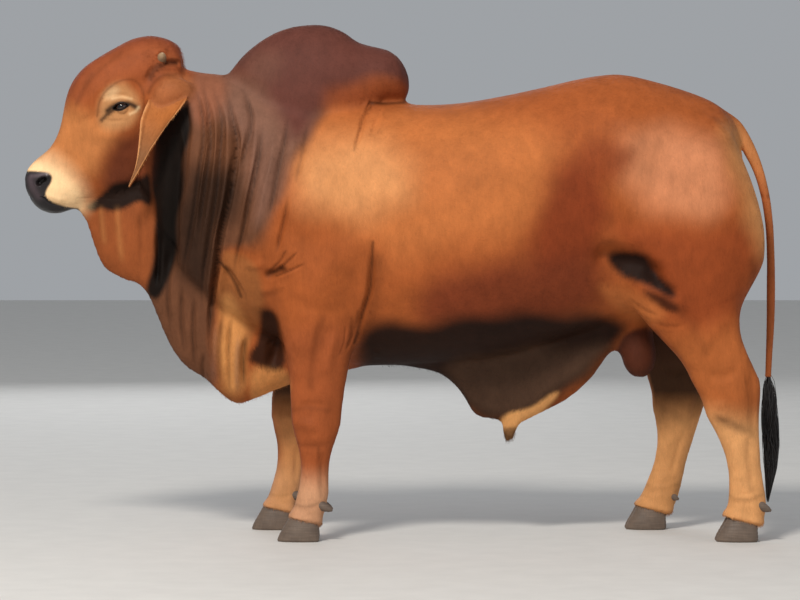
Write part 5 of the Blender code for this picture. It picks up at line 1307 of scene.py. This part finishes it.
def tufts(body, material, layout):
    mesh = body.data
    points = places(mesh)
    density = np.ones(len(points))
    for box, _, closeness in coat["regions"]:
        density[boxed(points[:, [0, 2]], box[:2], box[2:])] = closeness
    density *= (1 - values(mesh, "bare")).clip(0, 1) ** 2
    root, facing, colour, rng = roots(mesh, coat["count"], coat["seed"], density)
    facing = unit(facing)
    length = np.ones(len(root))
    for box, long, _ in coat["regions"]:
        length[boxed(root[:, [0, 2]], box[:2], box[2:])] = long
    length *= 0.75 + 0.5 * rng.random(len(root))
    way = hairWay(root, facing)
    side = np.cross(facing, way)
    lean = rng.normal(0, coat["lean"], len(root))[:, None]
    way, side = way * np.cos(lean) + side * np.sin(lean), side * np.cos(lean) - way * np.sin(lean)
    breadth = coat["broad"] * (0.7 + 0.6 * rng.random(len(root)))[:, None]
    rise = coat["rise"] * (0.6 + 0.8 * rng.random(len(root)))[:, None]
    reach = length[:, None]
    base = root - facing * coat["sunk"]
    near = root + way * reach * 0.3 + facing * coat["thick"]
    stack = np.stack([base, near - side * breadth / 2, near + side * breadth / 2,
                      root + way * reach + facing * rise], 1)
    pattern = np.array([(0, 1, 2), (1, 3, 2)])
    spread = np.array([(0, -0.5), (-0.4, -0.1), (0.4, -0.1), (0, 0.5)]) * coat["patch"]
    laid = unwrapPlaces(layout, root)
    tint = (0.88 + 0.26 * rng.random(len(root)))[:, None]
    colour = np.concatenate([colour[:, :3] * tint, np.ones((len(root), 1))], axis=1)
    order = np.argsort(root[:, 0])
    pieces = []
    for number, chosen in enumerate(np.array_split(order, math.ceil(len(order) / coat["perPiece"]))):
        count = len(chosen)
        triangles = (pattern[None] + np.arange(count)[:, None, None] * 4).reshape(-1, 3)
        uv = (laid[chosen][:, None] + spread[None]).reshape(-1, 2)
        lit = np.repeat(facing[chosen], 4, axis=0)
        piece = trianglesMesh(f"coat_{number + 1}", stack[chosen].reshape(-1, 3), triangles, uv, lit)
        setValues(piece.data, "markingsAndPaintedLight", np.repeat(colour[chosen], 4, axis=0))
        setValues(piece.data, "bare", np.zeros(count * 4))
        piece.data.materials.append(material)
        pieces.append(piece)
    return pieces


def locks(name, paths, breadths, colours=None, laid=None):
    # Tapered locks of three sides along paths (count, steps, 3), each with a breadth at each step.
    # `laid` holds the places of their roots in the unwrap.
    count, steps = breadths.shape
    along = np.gradient(paths, axis=1)
    along /= np.linalg.norm(along, axis=2)[..., None] + 1e-9
    out = paths - paths.mean(axis=0)[None]
    across = np.cross(along, out)
    across /= np.linalg.norm(across, axis=2)[..., None] + 1e-9
    up = np.cross(across, along)
    half = breadths[..., None] / 2
    ridge = paths + up * half * coat["lockThick"] * 2
    rings = np.stack([paths - across * half, paths + across * half, ridge], 2)
    points = rings[:, :-1].reshape(count, -1, 3)
    points = np.concatenate([points, paths[:, -1:]], axis=1)
    size = points.shape[1]
    pattern = [(0, 1, 2)]
    for i in range(steps - 2):
        for j in range(3):
            k = (j + 1) % 3
            a, b, c, d = i * 3 + j, i * 3 + k, i * 3 + 3 + k, i * 3 + 3 + j
            pattern += [(a, c, b), (a, d, c)]
    last = (steps - 2) * 3
    pattern += [(last + (j + 1) % 3, last + j, size - 1) for j in range(3)]
    triangles = (np.array(pattern)[None] + np.arange(count)[:, None, None] * size).reshape(-1, 3)
    uv = None
    if laid is not None:
        spread = np.array([(side, i / (steps - 1) - 0.5) for i in range(steps - 1) for side in (-0.4, 0.4, 0)]
                          + [(0, 0.5)])
        uv = (laid[:, None] + spread[None] * coat["patch"]).reshape(-1, 2)
    made = trianglesMesh(name, points.reshape(-1, 3), triangles, uv)
    if colours is not None:
        setValues(made.data, "markingsAndPaintedLight", np.repeat(colours, size, axis=0))
    return made


switch = {
    # Height, front, back and half width of the brush.
    "outline": [(53, 118.4, 121.6, 1.4), (49, 117.8, 122.2, 1.8), (43, 117.3, 123, 2.3), (36, 117.5, 123.5, 2.6),
                (29, 117.9, 123.8, 2.5), (22, 118.4, 123, 1.9), (16, 119, 121.4, 1.1), (11, 119.4, 120.2, 0.4)],
    "locks": 420,
    "steps": 12,
    "seed": 5,
    "starts": (24, 52.5),
    "lengths": (11, 20),
    "lowest": 10.4,
    "breadths": (0.35, 0.62),
    "root": (14, 12, 13),
    "tip": (44, 38, 38),
}


def tailSwitch():
    rng = np.random.default_rng(switch["seed"])
    count, steps = switch["locks"], switch["steps"]
    start = rng.uniform(*switch["starts"], count)
    length = rng.uniform(*switch["lengths"], count)
    length = np.minimum(length, start - switch["lowest"])
    turn = rng.uniform(0, 2 * np.pi, count)
    reach = np.sqrt(rng.uniform(0.25, 1.0, count))
    share = np.linspace(0, 1, steps)[None]
    z = start[:, None] - length[:, None] * share
    rows = np.array(switch["outline"])[::-1]
    front, back, half = (np.interp(z, rows[:, 0], rows[:, i]) for i in (1, 2, 3))
    wave = 0.22 * np.sin(share * rng.uniform(3, 7, count)[:, None] + rng.uniform(0, 6, count)[:, None])
    angle = turn[:, None] + wave + 0.4 * share * rng.normal(0, 1, count)[:, None]
    swell = reach[:, None] * np.interp(share, [0, 0.15, 1], [0.35, 0.85, 1.0])
    x = (front + back) / 2 + np.cos(angle) * (back - front) / 2 * swell
    y = np.sin(angle) * half * swell
    paths = np.stack([x, y, z], 2)
    taper = np.interp(share, [0, 0.2, 0.6, 1], [0.5, 1.0, 0.8, 0.1])
    breadths = rng.uniform(*switch["breadths"], count)[:, None] * taper
    return locks("switch", paths, breadths)


horns = {
    # Base and tip of the right stub, and its radii at even shares of its length.
    "base": (-77.4, 6.6, 153.6),
    "tip": (-76.2, 11.6, 156.2),
    "radii": [2.1, 2.0, 1.85, 1.6, 1.3, 0.9, 0.2],
    "dark": (58, 42, 34),
    "pale": (172, 142, 108),
}
spurs = {
    # Base and tip of a dewclaw: behind the middle of the foot, out from it, and height.
    "base": (3.6, 2.4, 12.5),
    "tip": (9.4, 3.2, 9.9),
    "radii": [1.75, 1.75, 1.7, 1.55, 1.3, 0.95, 0.3],
    "ripple": 0.012,
}


def acrossOf(axis):
    # Two ways across an axis that isn't upright.
    axis = axis / np.linalg.norm(axis)
    across = np.cross(axis, (0, 0, 1.0))
    across /= np.linalg.norm(across)
    return across, np.cross(axis, across)


def stub(name, base, tip, radii, ripple=0.0):
    # A short round horn from base to tip; radii are at even shares of its length.
    base, tip = np.array(base, float), np.array(tip, float)
    across, third = acrossOf(tip - base)
    sides, steps, waves = 40, 26, 40
    points, shares = [], np.linspace(0, 1, steps)
    turn = np.linspace(0, 2 * np.pi, sides, endpoint=False)
    for share in shares:
        radius = np.interp(share, np.linspace(0, 1, len(radii)), radii)
        radius *= 1 + ripple * math.sin(share * waves)
        ring = radius * (np.cos(turn)[:, None] * across + np.sin(turn)[:, None] * third)
        points.append(base + (tip - base) * share + ring)
    made = newObject(name, np.concatenate(points), tubeFaces(steps, sides))
    setValues(made.data, "length", np.repeat(shares, sides))
    made.data.shade_smooth()
    return made


def eyeball(name, side):
    # A ball with a low cornea; "look" holds each point's place across the pupil and its height above.
    middle, axes = eyeAxes(side)
    rings, sides, radius = 72, 96, socket["radius"]
    polar = np.linspace(0.004, np.pi, rings)[:, None]
    turn = np.linspace(0, 2 * np.pi, sides, endpoint=False)[None]
    swell = 1 + socket["cornea"] * np.exp(-((polar / socket["corneaReach"]) ** 2))
    local = np.stack([np.sin(polar) * np.cos(turn) * swell, np.sin(polar) * np.sin(turn) * swell,
                      np.cos(polar) * swell + 0 * turn], 2).reshape(-1, 3)
    faces = [tuple(range(sides))]
    for i in range(rings - 1):
        for j in range(sides):
            k = (j + 1) % sides
            faces.append((i * sides + j, (i + 1) * sides + j, (i + 1) * sides + k, i * sides + k))
    made = newObject(name, local @ axes * radius + middle, faces)
    setValues(made.data, "look", local * radius)
    made.data.shade_smooth()
    return made


claws = {
    # Height, front and back from the middle of the foot, and half width.
    "rows": [(0.0, -8.0, 4.9, 2.75), (0.35, -8.2, 5.1, 2.9), (1.2, -8.0, 5.2, 2.95), (3.2, -7.0, 5.1, 2.9),
             (5.2, -5.8, 5.0, 2.75), (7.6, -4.5, 4.6, 2.5), (9.6, -3.2, 3.8, 2.2)],
    "cleft": 0.22,
    "widest": 2.95,
    "share": 0.42,      # where a claw is widest, as a share of its length from behind
    "upper": 1.9,
    "lower": 2.5,
    "toeIn": 0.75,      # how far the toes turn to each other
    "sunk": 0.1,        # how far the top lies under the coronet, and how softly it ends
    "top": 0.3,
    "groove": 0.035,
    "grooves": 5.2,
    # Scale, stretch and detail of each pattern.
    "rings": (60.0, (0.3, 0.3, 5.0), 2.0),
    "fibres": (240.0, (1, 1, 0.12), 2.0),
    "dust": (26.0, (1, 1, 1), 4.0),
    "dark": (58, 48, 42),
    "pale": (134, 114, 98),
}


def claw(name, x, y, inner):
    middle = y - inner * (claws["cleft"] + claws["widest"])
    rings = []
    for z, front, back, half in claws["rows"]:
        leaning = middle + inner * (claws["widest"] - half) * 0.8
        rings.append((x + front, z, x + back, z, half, claws["share"], leaning))
    points, faces = loft(rings, claws["upper"], claws["lower"], steps=9, sides=64)
    toe = ((x - 2 - points[:, 0]) / 6).clip(0, 1)
    points[:, 1] += inner * claws["toeIn"] * toe * toe
    above = (points[:, 2] - coronet(points[:, 0] - x) + claws["sunk"]).clip(0)
    points[:, 2] -= above - claws["top"] * np.tanh(above / claws["top"])
    wave = np.sin(points[:, 2] * claws["grooves"] + 0.4 * points[:, 0])
    points[:, 0] -= wave * claws["groove"] * (points[:, 2] / 2).clip(0, 1)
    made = newObject(name, points, faces)
    made.data.shade_smooth()
    return made


def hoofMaterial():
    made, start, shader = newMaterial("hoof")
    rings, fibres, dust = (noise(start, *claws[name]) for name in ("rings", "fibres", "dust"))
    tone = rings * 0.5 + dust * 0.5
    coloured = colourMix(tone.clamped(), opaque(claws["dark"]), opaque(claws["pale"]))
    coloured = brightened(coloured, 0.8 + fibres * 0.4)
    height = rings * 0.6 + fibres * 0.4
    connect(shader, Base_Color=coloured, Roughness=0.42 + dust * 0.3, Normal=bumped(height, 0.5, 0.002))
    return made


def hornMaterial():
    made, start, shader = newMaterial("horn")
    length = attribute(start, "length", 2)
    rings = noise(start, 130.0, (1, 1, 1), 3.0)
    share = (length * 1.5 - 0.45 + rings * 0.2).clamped()
    coloured = colourMix(share, opaque(horns["dark"]), opaque(horns["pale"]))
    coloured = brightened(coloured, 0.8 + rings * 0.4)
    connect(shader, Base_Color=coloured, Roughness=0.4 + rings * 0.25, Normal=bumped(rings, 0.4, 0.001))
    return made


irises = {
    "dark": (26, 14, 9),
    "pale": (62, 34, 20),
    "pupil": (8, 7, 9),
    "white": (50, 38, 32),
    # The pupil ends where `size` is used up by these shares of across and up, squared.
    "size": 2.6,
    "across": 2.2,
    "up": 10.0,
}


def eyeMaterial():
    made, start, shader = newMaterial("eye", Roughness=0.1, Coat_Weight=0.4, Coat_Roughness=0.03)
    look = attribute(start, "look", 1)
    across = start.node("ShaderNodeSeparateXYZ", {}, {0: look}, 0)
    up = start.node("ShaderNodeSeparateXYZ", {}, {0: look}, 1)
    flat = across * across + up * up
    fibres = noise(start, 420.0, (1, 1, 1), 4.0)
    iris = colourMix(fibres.clamped(), opaque(irises["dark"]), opaque(irises["pale"]))
    inPupil = (irises["size"] - across * across * irises["across"] - up * up * irises["up"]).clamped()
    coloured = colourMix(inPupil, iris, opaque(irises["pupil"]))
    white = (flat * 1.6 - 3.6).clamped()
    coloured = colourMix(white, coloured, opaque(irises["white"]))
    connect(shader, Base_Color=coloured)
    return made


def hairMaterial(name, root, tip):
    made, start, shader = newMaterial(name, Specular_IOR_Level=0.5)
    strands = noise(start, 420.0, (1, 1, 0.05), 2.0)
    broad = noise(start, 30.0, (1, 1, 1), 2.0)
    share = (strands * 0.7 + broad * 0.5 - 0.1).clamped()
    coloured = colourMix(share, opaque(root), opaque(tip))
    connect(shader, Base_Color=coloured, Roughness=0.34 + strands * 0.25, Normal=bumped(strands, 0.5, 0.001))
    return made


lashHairs = {
    # Which lid, how many, and how long.
    "rows": [(1, 46, 2.3), (-1, 22, 0.9)],
    "between": (-2.0, 1.9),
    "breadths": [0.07, 0.07, 0.06, 0.055, 0.045, 0.03, 0.01],
    "seed": 11,
    "root": (26, 18, 15),
    "tip": (62, 44, 34),
}


def lashes():
    # The long lashes of the upper lid, and short ones on the lower lid.
    rng = np.random.default_rng(lashHairs["seed"])
    paths = []
    for side in (-1, 1):
        middle, axes = eyeAxes(side)
        for upper, count, long in lashHairs["rows"]:
            for a in np.linspace(*lashHairs["between"], count):
                a += rng.normal(0, 0.03)
                half = lids["above"] if upper > 0 else -lids["below"]
                b = half * (1 - (a / lids["halfLength"]) ** 2)
                height = math.sqrt(lids["radius"] ** 2 - a * a - b * b) - 0.25
                size = long * rng.uniform(0.75, 1.1) * (1 if upper < 0 else 0.8 + 0.3 * (a < 0))
                share = np.linspace(0, 1, len(lashHairs["breadths"]))
                along = a + share * size * (-0.32 + 0.08 * a)
                rise = b + upper * (0.12 * share - 0.34 * share**2 * (upper > 0)) * size
                out = height + 0.55 * size * np.sin(share * 1.5)
                paths.append(np.stack([along, rise, out], 1) @ axes + middle)
    paths = np.array(paths)
    breadths = np.tile(np.array(lashHairs["breadths"]), (len(paths), 1))
    return locks("lashes", paths, breadths)


fringes = {
    # Where longer hair grows: the low and high corner of a box, how many, length, the way it leans.
    "places": [
        ((32, -5, 28), (41, 5, 33), 160, 1.6, (0.1, 0, -1)),
        ((-82, -12, 150), (-69, 12, 163), 900, 1.4, (0.7, 0, -0.6)),
        ((-66, -10, 38), (-36, 10, 50), 500, 1.1, (0.3, 0, -1)),
        ((-6, -6, 50), (34, 6, 58), 400, 1.2, (0.7, 0, -1)),
    ],
    # How many, length, lean and seed on the ears' rims and in the ears.
    "earRim": (1100, 0.8, (-0.1, 0, -1), 31),
    "earInside": (700, 1.1, (-0.3, -0.1, -1), 32),
    "coronet": (700, 1.1, (-0.05, 0, -1)),
    "spread": 0.14,
    "placeSeed": 20,
    "coronetSeed": 40,
    "breadths": [0.11, 0.1, 0.09, 0.07, 0.045, 0.015],
}


def fringe(body, material, layout):
    # Longer tufts on the skin inside some boxes, the ears' rims and round the coronets.
    mesh = body.data
    points = places(mesh)
    paths, colours, starts = [], [], []

    def grow(density, count, long, lean, seed):
        root, facing, colour, rng = roots(mesh, count, seed, density)
        facing = unit(facing)
        lean = np.array(lean, float)
        way = lean / np.linalg.norm(lean) + rng.normal(0, fringes["spread"], (count, 3))
        size = long * rng.uniform(0.6, 1.1, count)
        share = np.linspace(0, 1, len(fringes["breadths"]))
        for i in range(count):
            start = facing[i] * 0.55 + way[i] * 0.6
            bend = way[i] - facing[i] * 0.12
            line = start[None] * share[:, None] + (bend - start)[None] * (share**2)[:, None] * 0.6
            paths.append(root[i] - facing[i] * 0.1 + line * size[i])
        colours.append(colour)
        starts.append(root)

    for number, (low, high, count, long, lean) in enumerate(fringes["places"]):
        inside = boxed(points, low, high)
        grow(inside * 1.0, count, long, lean, fringes["placeSeed"] + number)
    leaf, onLeaf = values(mesh, "leaf", 3), values(mesh, "onLeaf")
    rim = onLeaf * (abs(leaf[:, 1]) > 0.8) * (leaf[:, 0] > 0.12)
    grow(rim, *fringes["earRim"])
    grow(onLeaf * leaf[:, 2] * (leaf[:, 0] > 0.1), *fringes["earInside"])
    for number, (x, y) in enumerate(feet["places"]):
        height = coronet(points[:, 0] - x)
        near = (abs(points[:, 0] - x) < 12) & (abs(points[:, 1] - y) < 9) & (abs(points[:, 2] - height - 0.5) < 0.7)
        grow(near * 1.0, *fringes["coronet"], fringes["coronetSeed"] + number)
    paths, colours = np.array(paths), np.concatenate(colours)
    breadths = np.tile(np.array(fringes["breadths"]), (len(paths), 1))
    laid = unwrapPlaces(layout, np.concatenate(starts))
    made = locks("fringes", paths, breadths, colours=colours, laid=laid)
    setValues(made.data, "bare", np.zeros(len(made.data.vertices)))
    made.data.materials.append(material)
    return made


def shown(piece, slotName, *nodes):
    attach(piece, "root")
    if nodes:
        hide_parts(*nodes)


def both(name):
    return [f"{name}_{word}" for word in ("left", "right")]


print("flesh")
hide = fleshMesh()
print("folds and muscles")
finished(hide)
print("markingsAndPaintedLight")
painted(hide.data)
hideLook = hideMaterial()
hide.data.materials.append(hideLook)
shown(hide, "red_coat", "torso", "neck", "head", "hump", "dewlap", "sheath", "scrotum", "tail",
      *both("ear"), *both("foreleg"), *both("hindleg"))

print("coat")
layout = unwrapped(hide)
for piece in tufts(hide, hideLook, layout) + [fringe(hide, hideLook, layout)]:
    shown(piece, "red_coat")

print("switch and lashes")
brush = tailSwitch()
brush.data.materials.append(hairMaterial("switchHair", switch["root"], switch["tip"]))
shown(brush, "switch_hair", "tail_switch")
lash = lashes()
lash.data.materials.append(hairMaterial("lashHair", lashHairs["root"], lashHairs["tip"]))
shown(lash, "switch_hair")

print("eyes, horns and hooves")
eyeLook, hornLook, hoofLook = eyeMaterial(), hornMaterial(), hoofMaterial()
for side, word in ((-1, "left"), (1, "right")):
    ball = eyeball(f"eye{word.title()}", side)
    ball.data.materials.append(eyeLook)
    shown(ball, "eye", f"eye_{word}")
    ends = [(x, side * y, z) for x, y, z in (horns["base"], horns["tip"])]
    horn = stub(f"horn{word.title()}", *ends, horns["radii"])
    horn.data.materials.append(hornLook)
    shown(horn, "horn", f"horn_stub_{word}")
for (x, y), foot in zip(feet["places"], feet["names"]):
    for toe, inner in (("outer", -np.sign(y)), ("inner", np.sign(y))):
        hoof = claw(f"claw_{foot}_{toe}_horn", x, y, inner)
        hoof.data.materials.append(hoofLook)
        shown(hoof, "hoof", f"claw_{foot}_{toe}")
        ends = [(x + back, y - inner * out, z) for back, out, z in (spurs["base"], spurs["tip"])]
        spur = stub(f"spur_{foot}_{toe}", *ends, spurs["radii"], spurs["ripple"])
        spur.data.materials.append(hoofLook)
        shown(spur, "hoof", f"dewclaw_{foot}_{toe}")

print("room")
room = {
    "floor": 44.0,
    "dark": (206, 204, 200),
    "pale": (222, 220, 216),
    "sky": 0.4,
    "skyColour": (0.86, 0.9, 0.95, 1),
    "target": (0, 0, 0.8),
    # Name, place, power, size and colour.
    "lights": [
        ("key", (-2.6, -7.4, 7.8), 850.0, 2.0, (1.0, 0.95, 0.88)),
        ("fill", (4.5, -6.0, 3.0), 40.0, 4.0, (0.92, 0.96, 1.0)),
        ("back", (-1.5, 7.5, 3.6), 110.0, 5.0, (0.95, 0.97, 1.0)),
    ],
}


def floorMade():
    half = room["floor"] / 2
    mesh = bpy.data.meshes.new("floor")
    mesh.from_pydata([(-half, -half, 0), (half, -half, 0), (half, half, 0), (-half, half, 0)], [], [(0, 1, 2, 3)])
    look, start, shader = newMaterial("floor")
    grain = noise(start, 8.0, (1, 1, 1), 4.0)
    coloured = colourMix(grain.clamped(), opaque(room["dark"]), opaque(room["pale"]))
    connect(shader, Base_Color=coloured, Roughness=0.7 + grain * 0.15)
    mesh.materials.append(look)
    return inScene("floor", mesh)


floorMade()
for name, place, power, size, colour in room["lights"]:
    light = bpy.data.lights.new(name, "AREA")
    light.energy = power
    light.size = size
    light.color = colour
    lamp = inScene(name, light)
    lamp.location = place
    lamp.rotation_euler = (Vector(room["target"]) - Vector(place)).to_track_quat("-Z", "Y").to_euler()
world = bpy.data.worlds.new("sky")
world.use_nodes = True
backdrop = world.node_tree.nodes["Background"]
backdrop.inputs["Color"].default_value = room["skyColour"]
backdrop.inputs["Strength"].default_value = room["sky"]
bpy.context.scene.world = world
bpy.context.scene.view_settings.view_transform = "Standard"

view = {"distance": 12.0, "height": 1.181, "pitch": 1.986, "lens": 166.15, "sensor": 36, "farthest": 60}
camera = bpy.data.cameras.new("camera")
camera.lens = view["lens"]
camera.sensor_width = view["sensor"]
camera.clip_end = view["farthest"]
eyePoint = inScene("camera", camera)
eyePoint.location = (shift[0], -view["distance"], view["height"])
eyePoint.rotation_euler = (math.radians(90 - view["pitch"]), 0, 0)
bpy.context.scene.camera = eyePoint
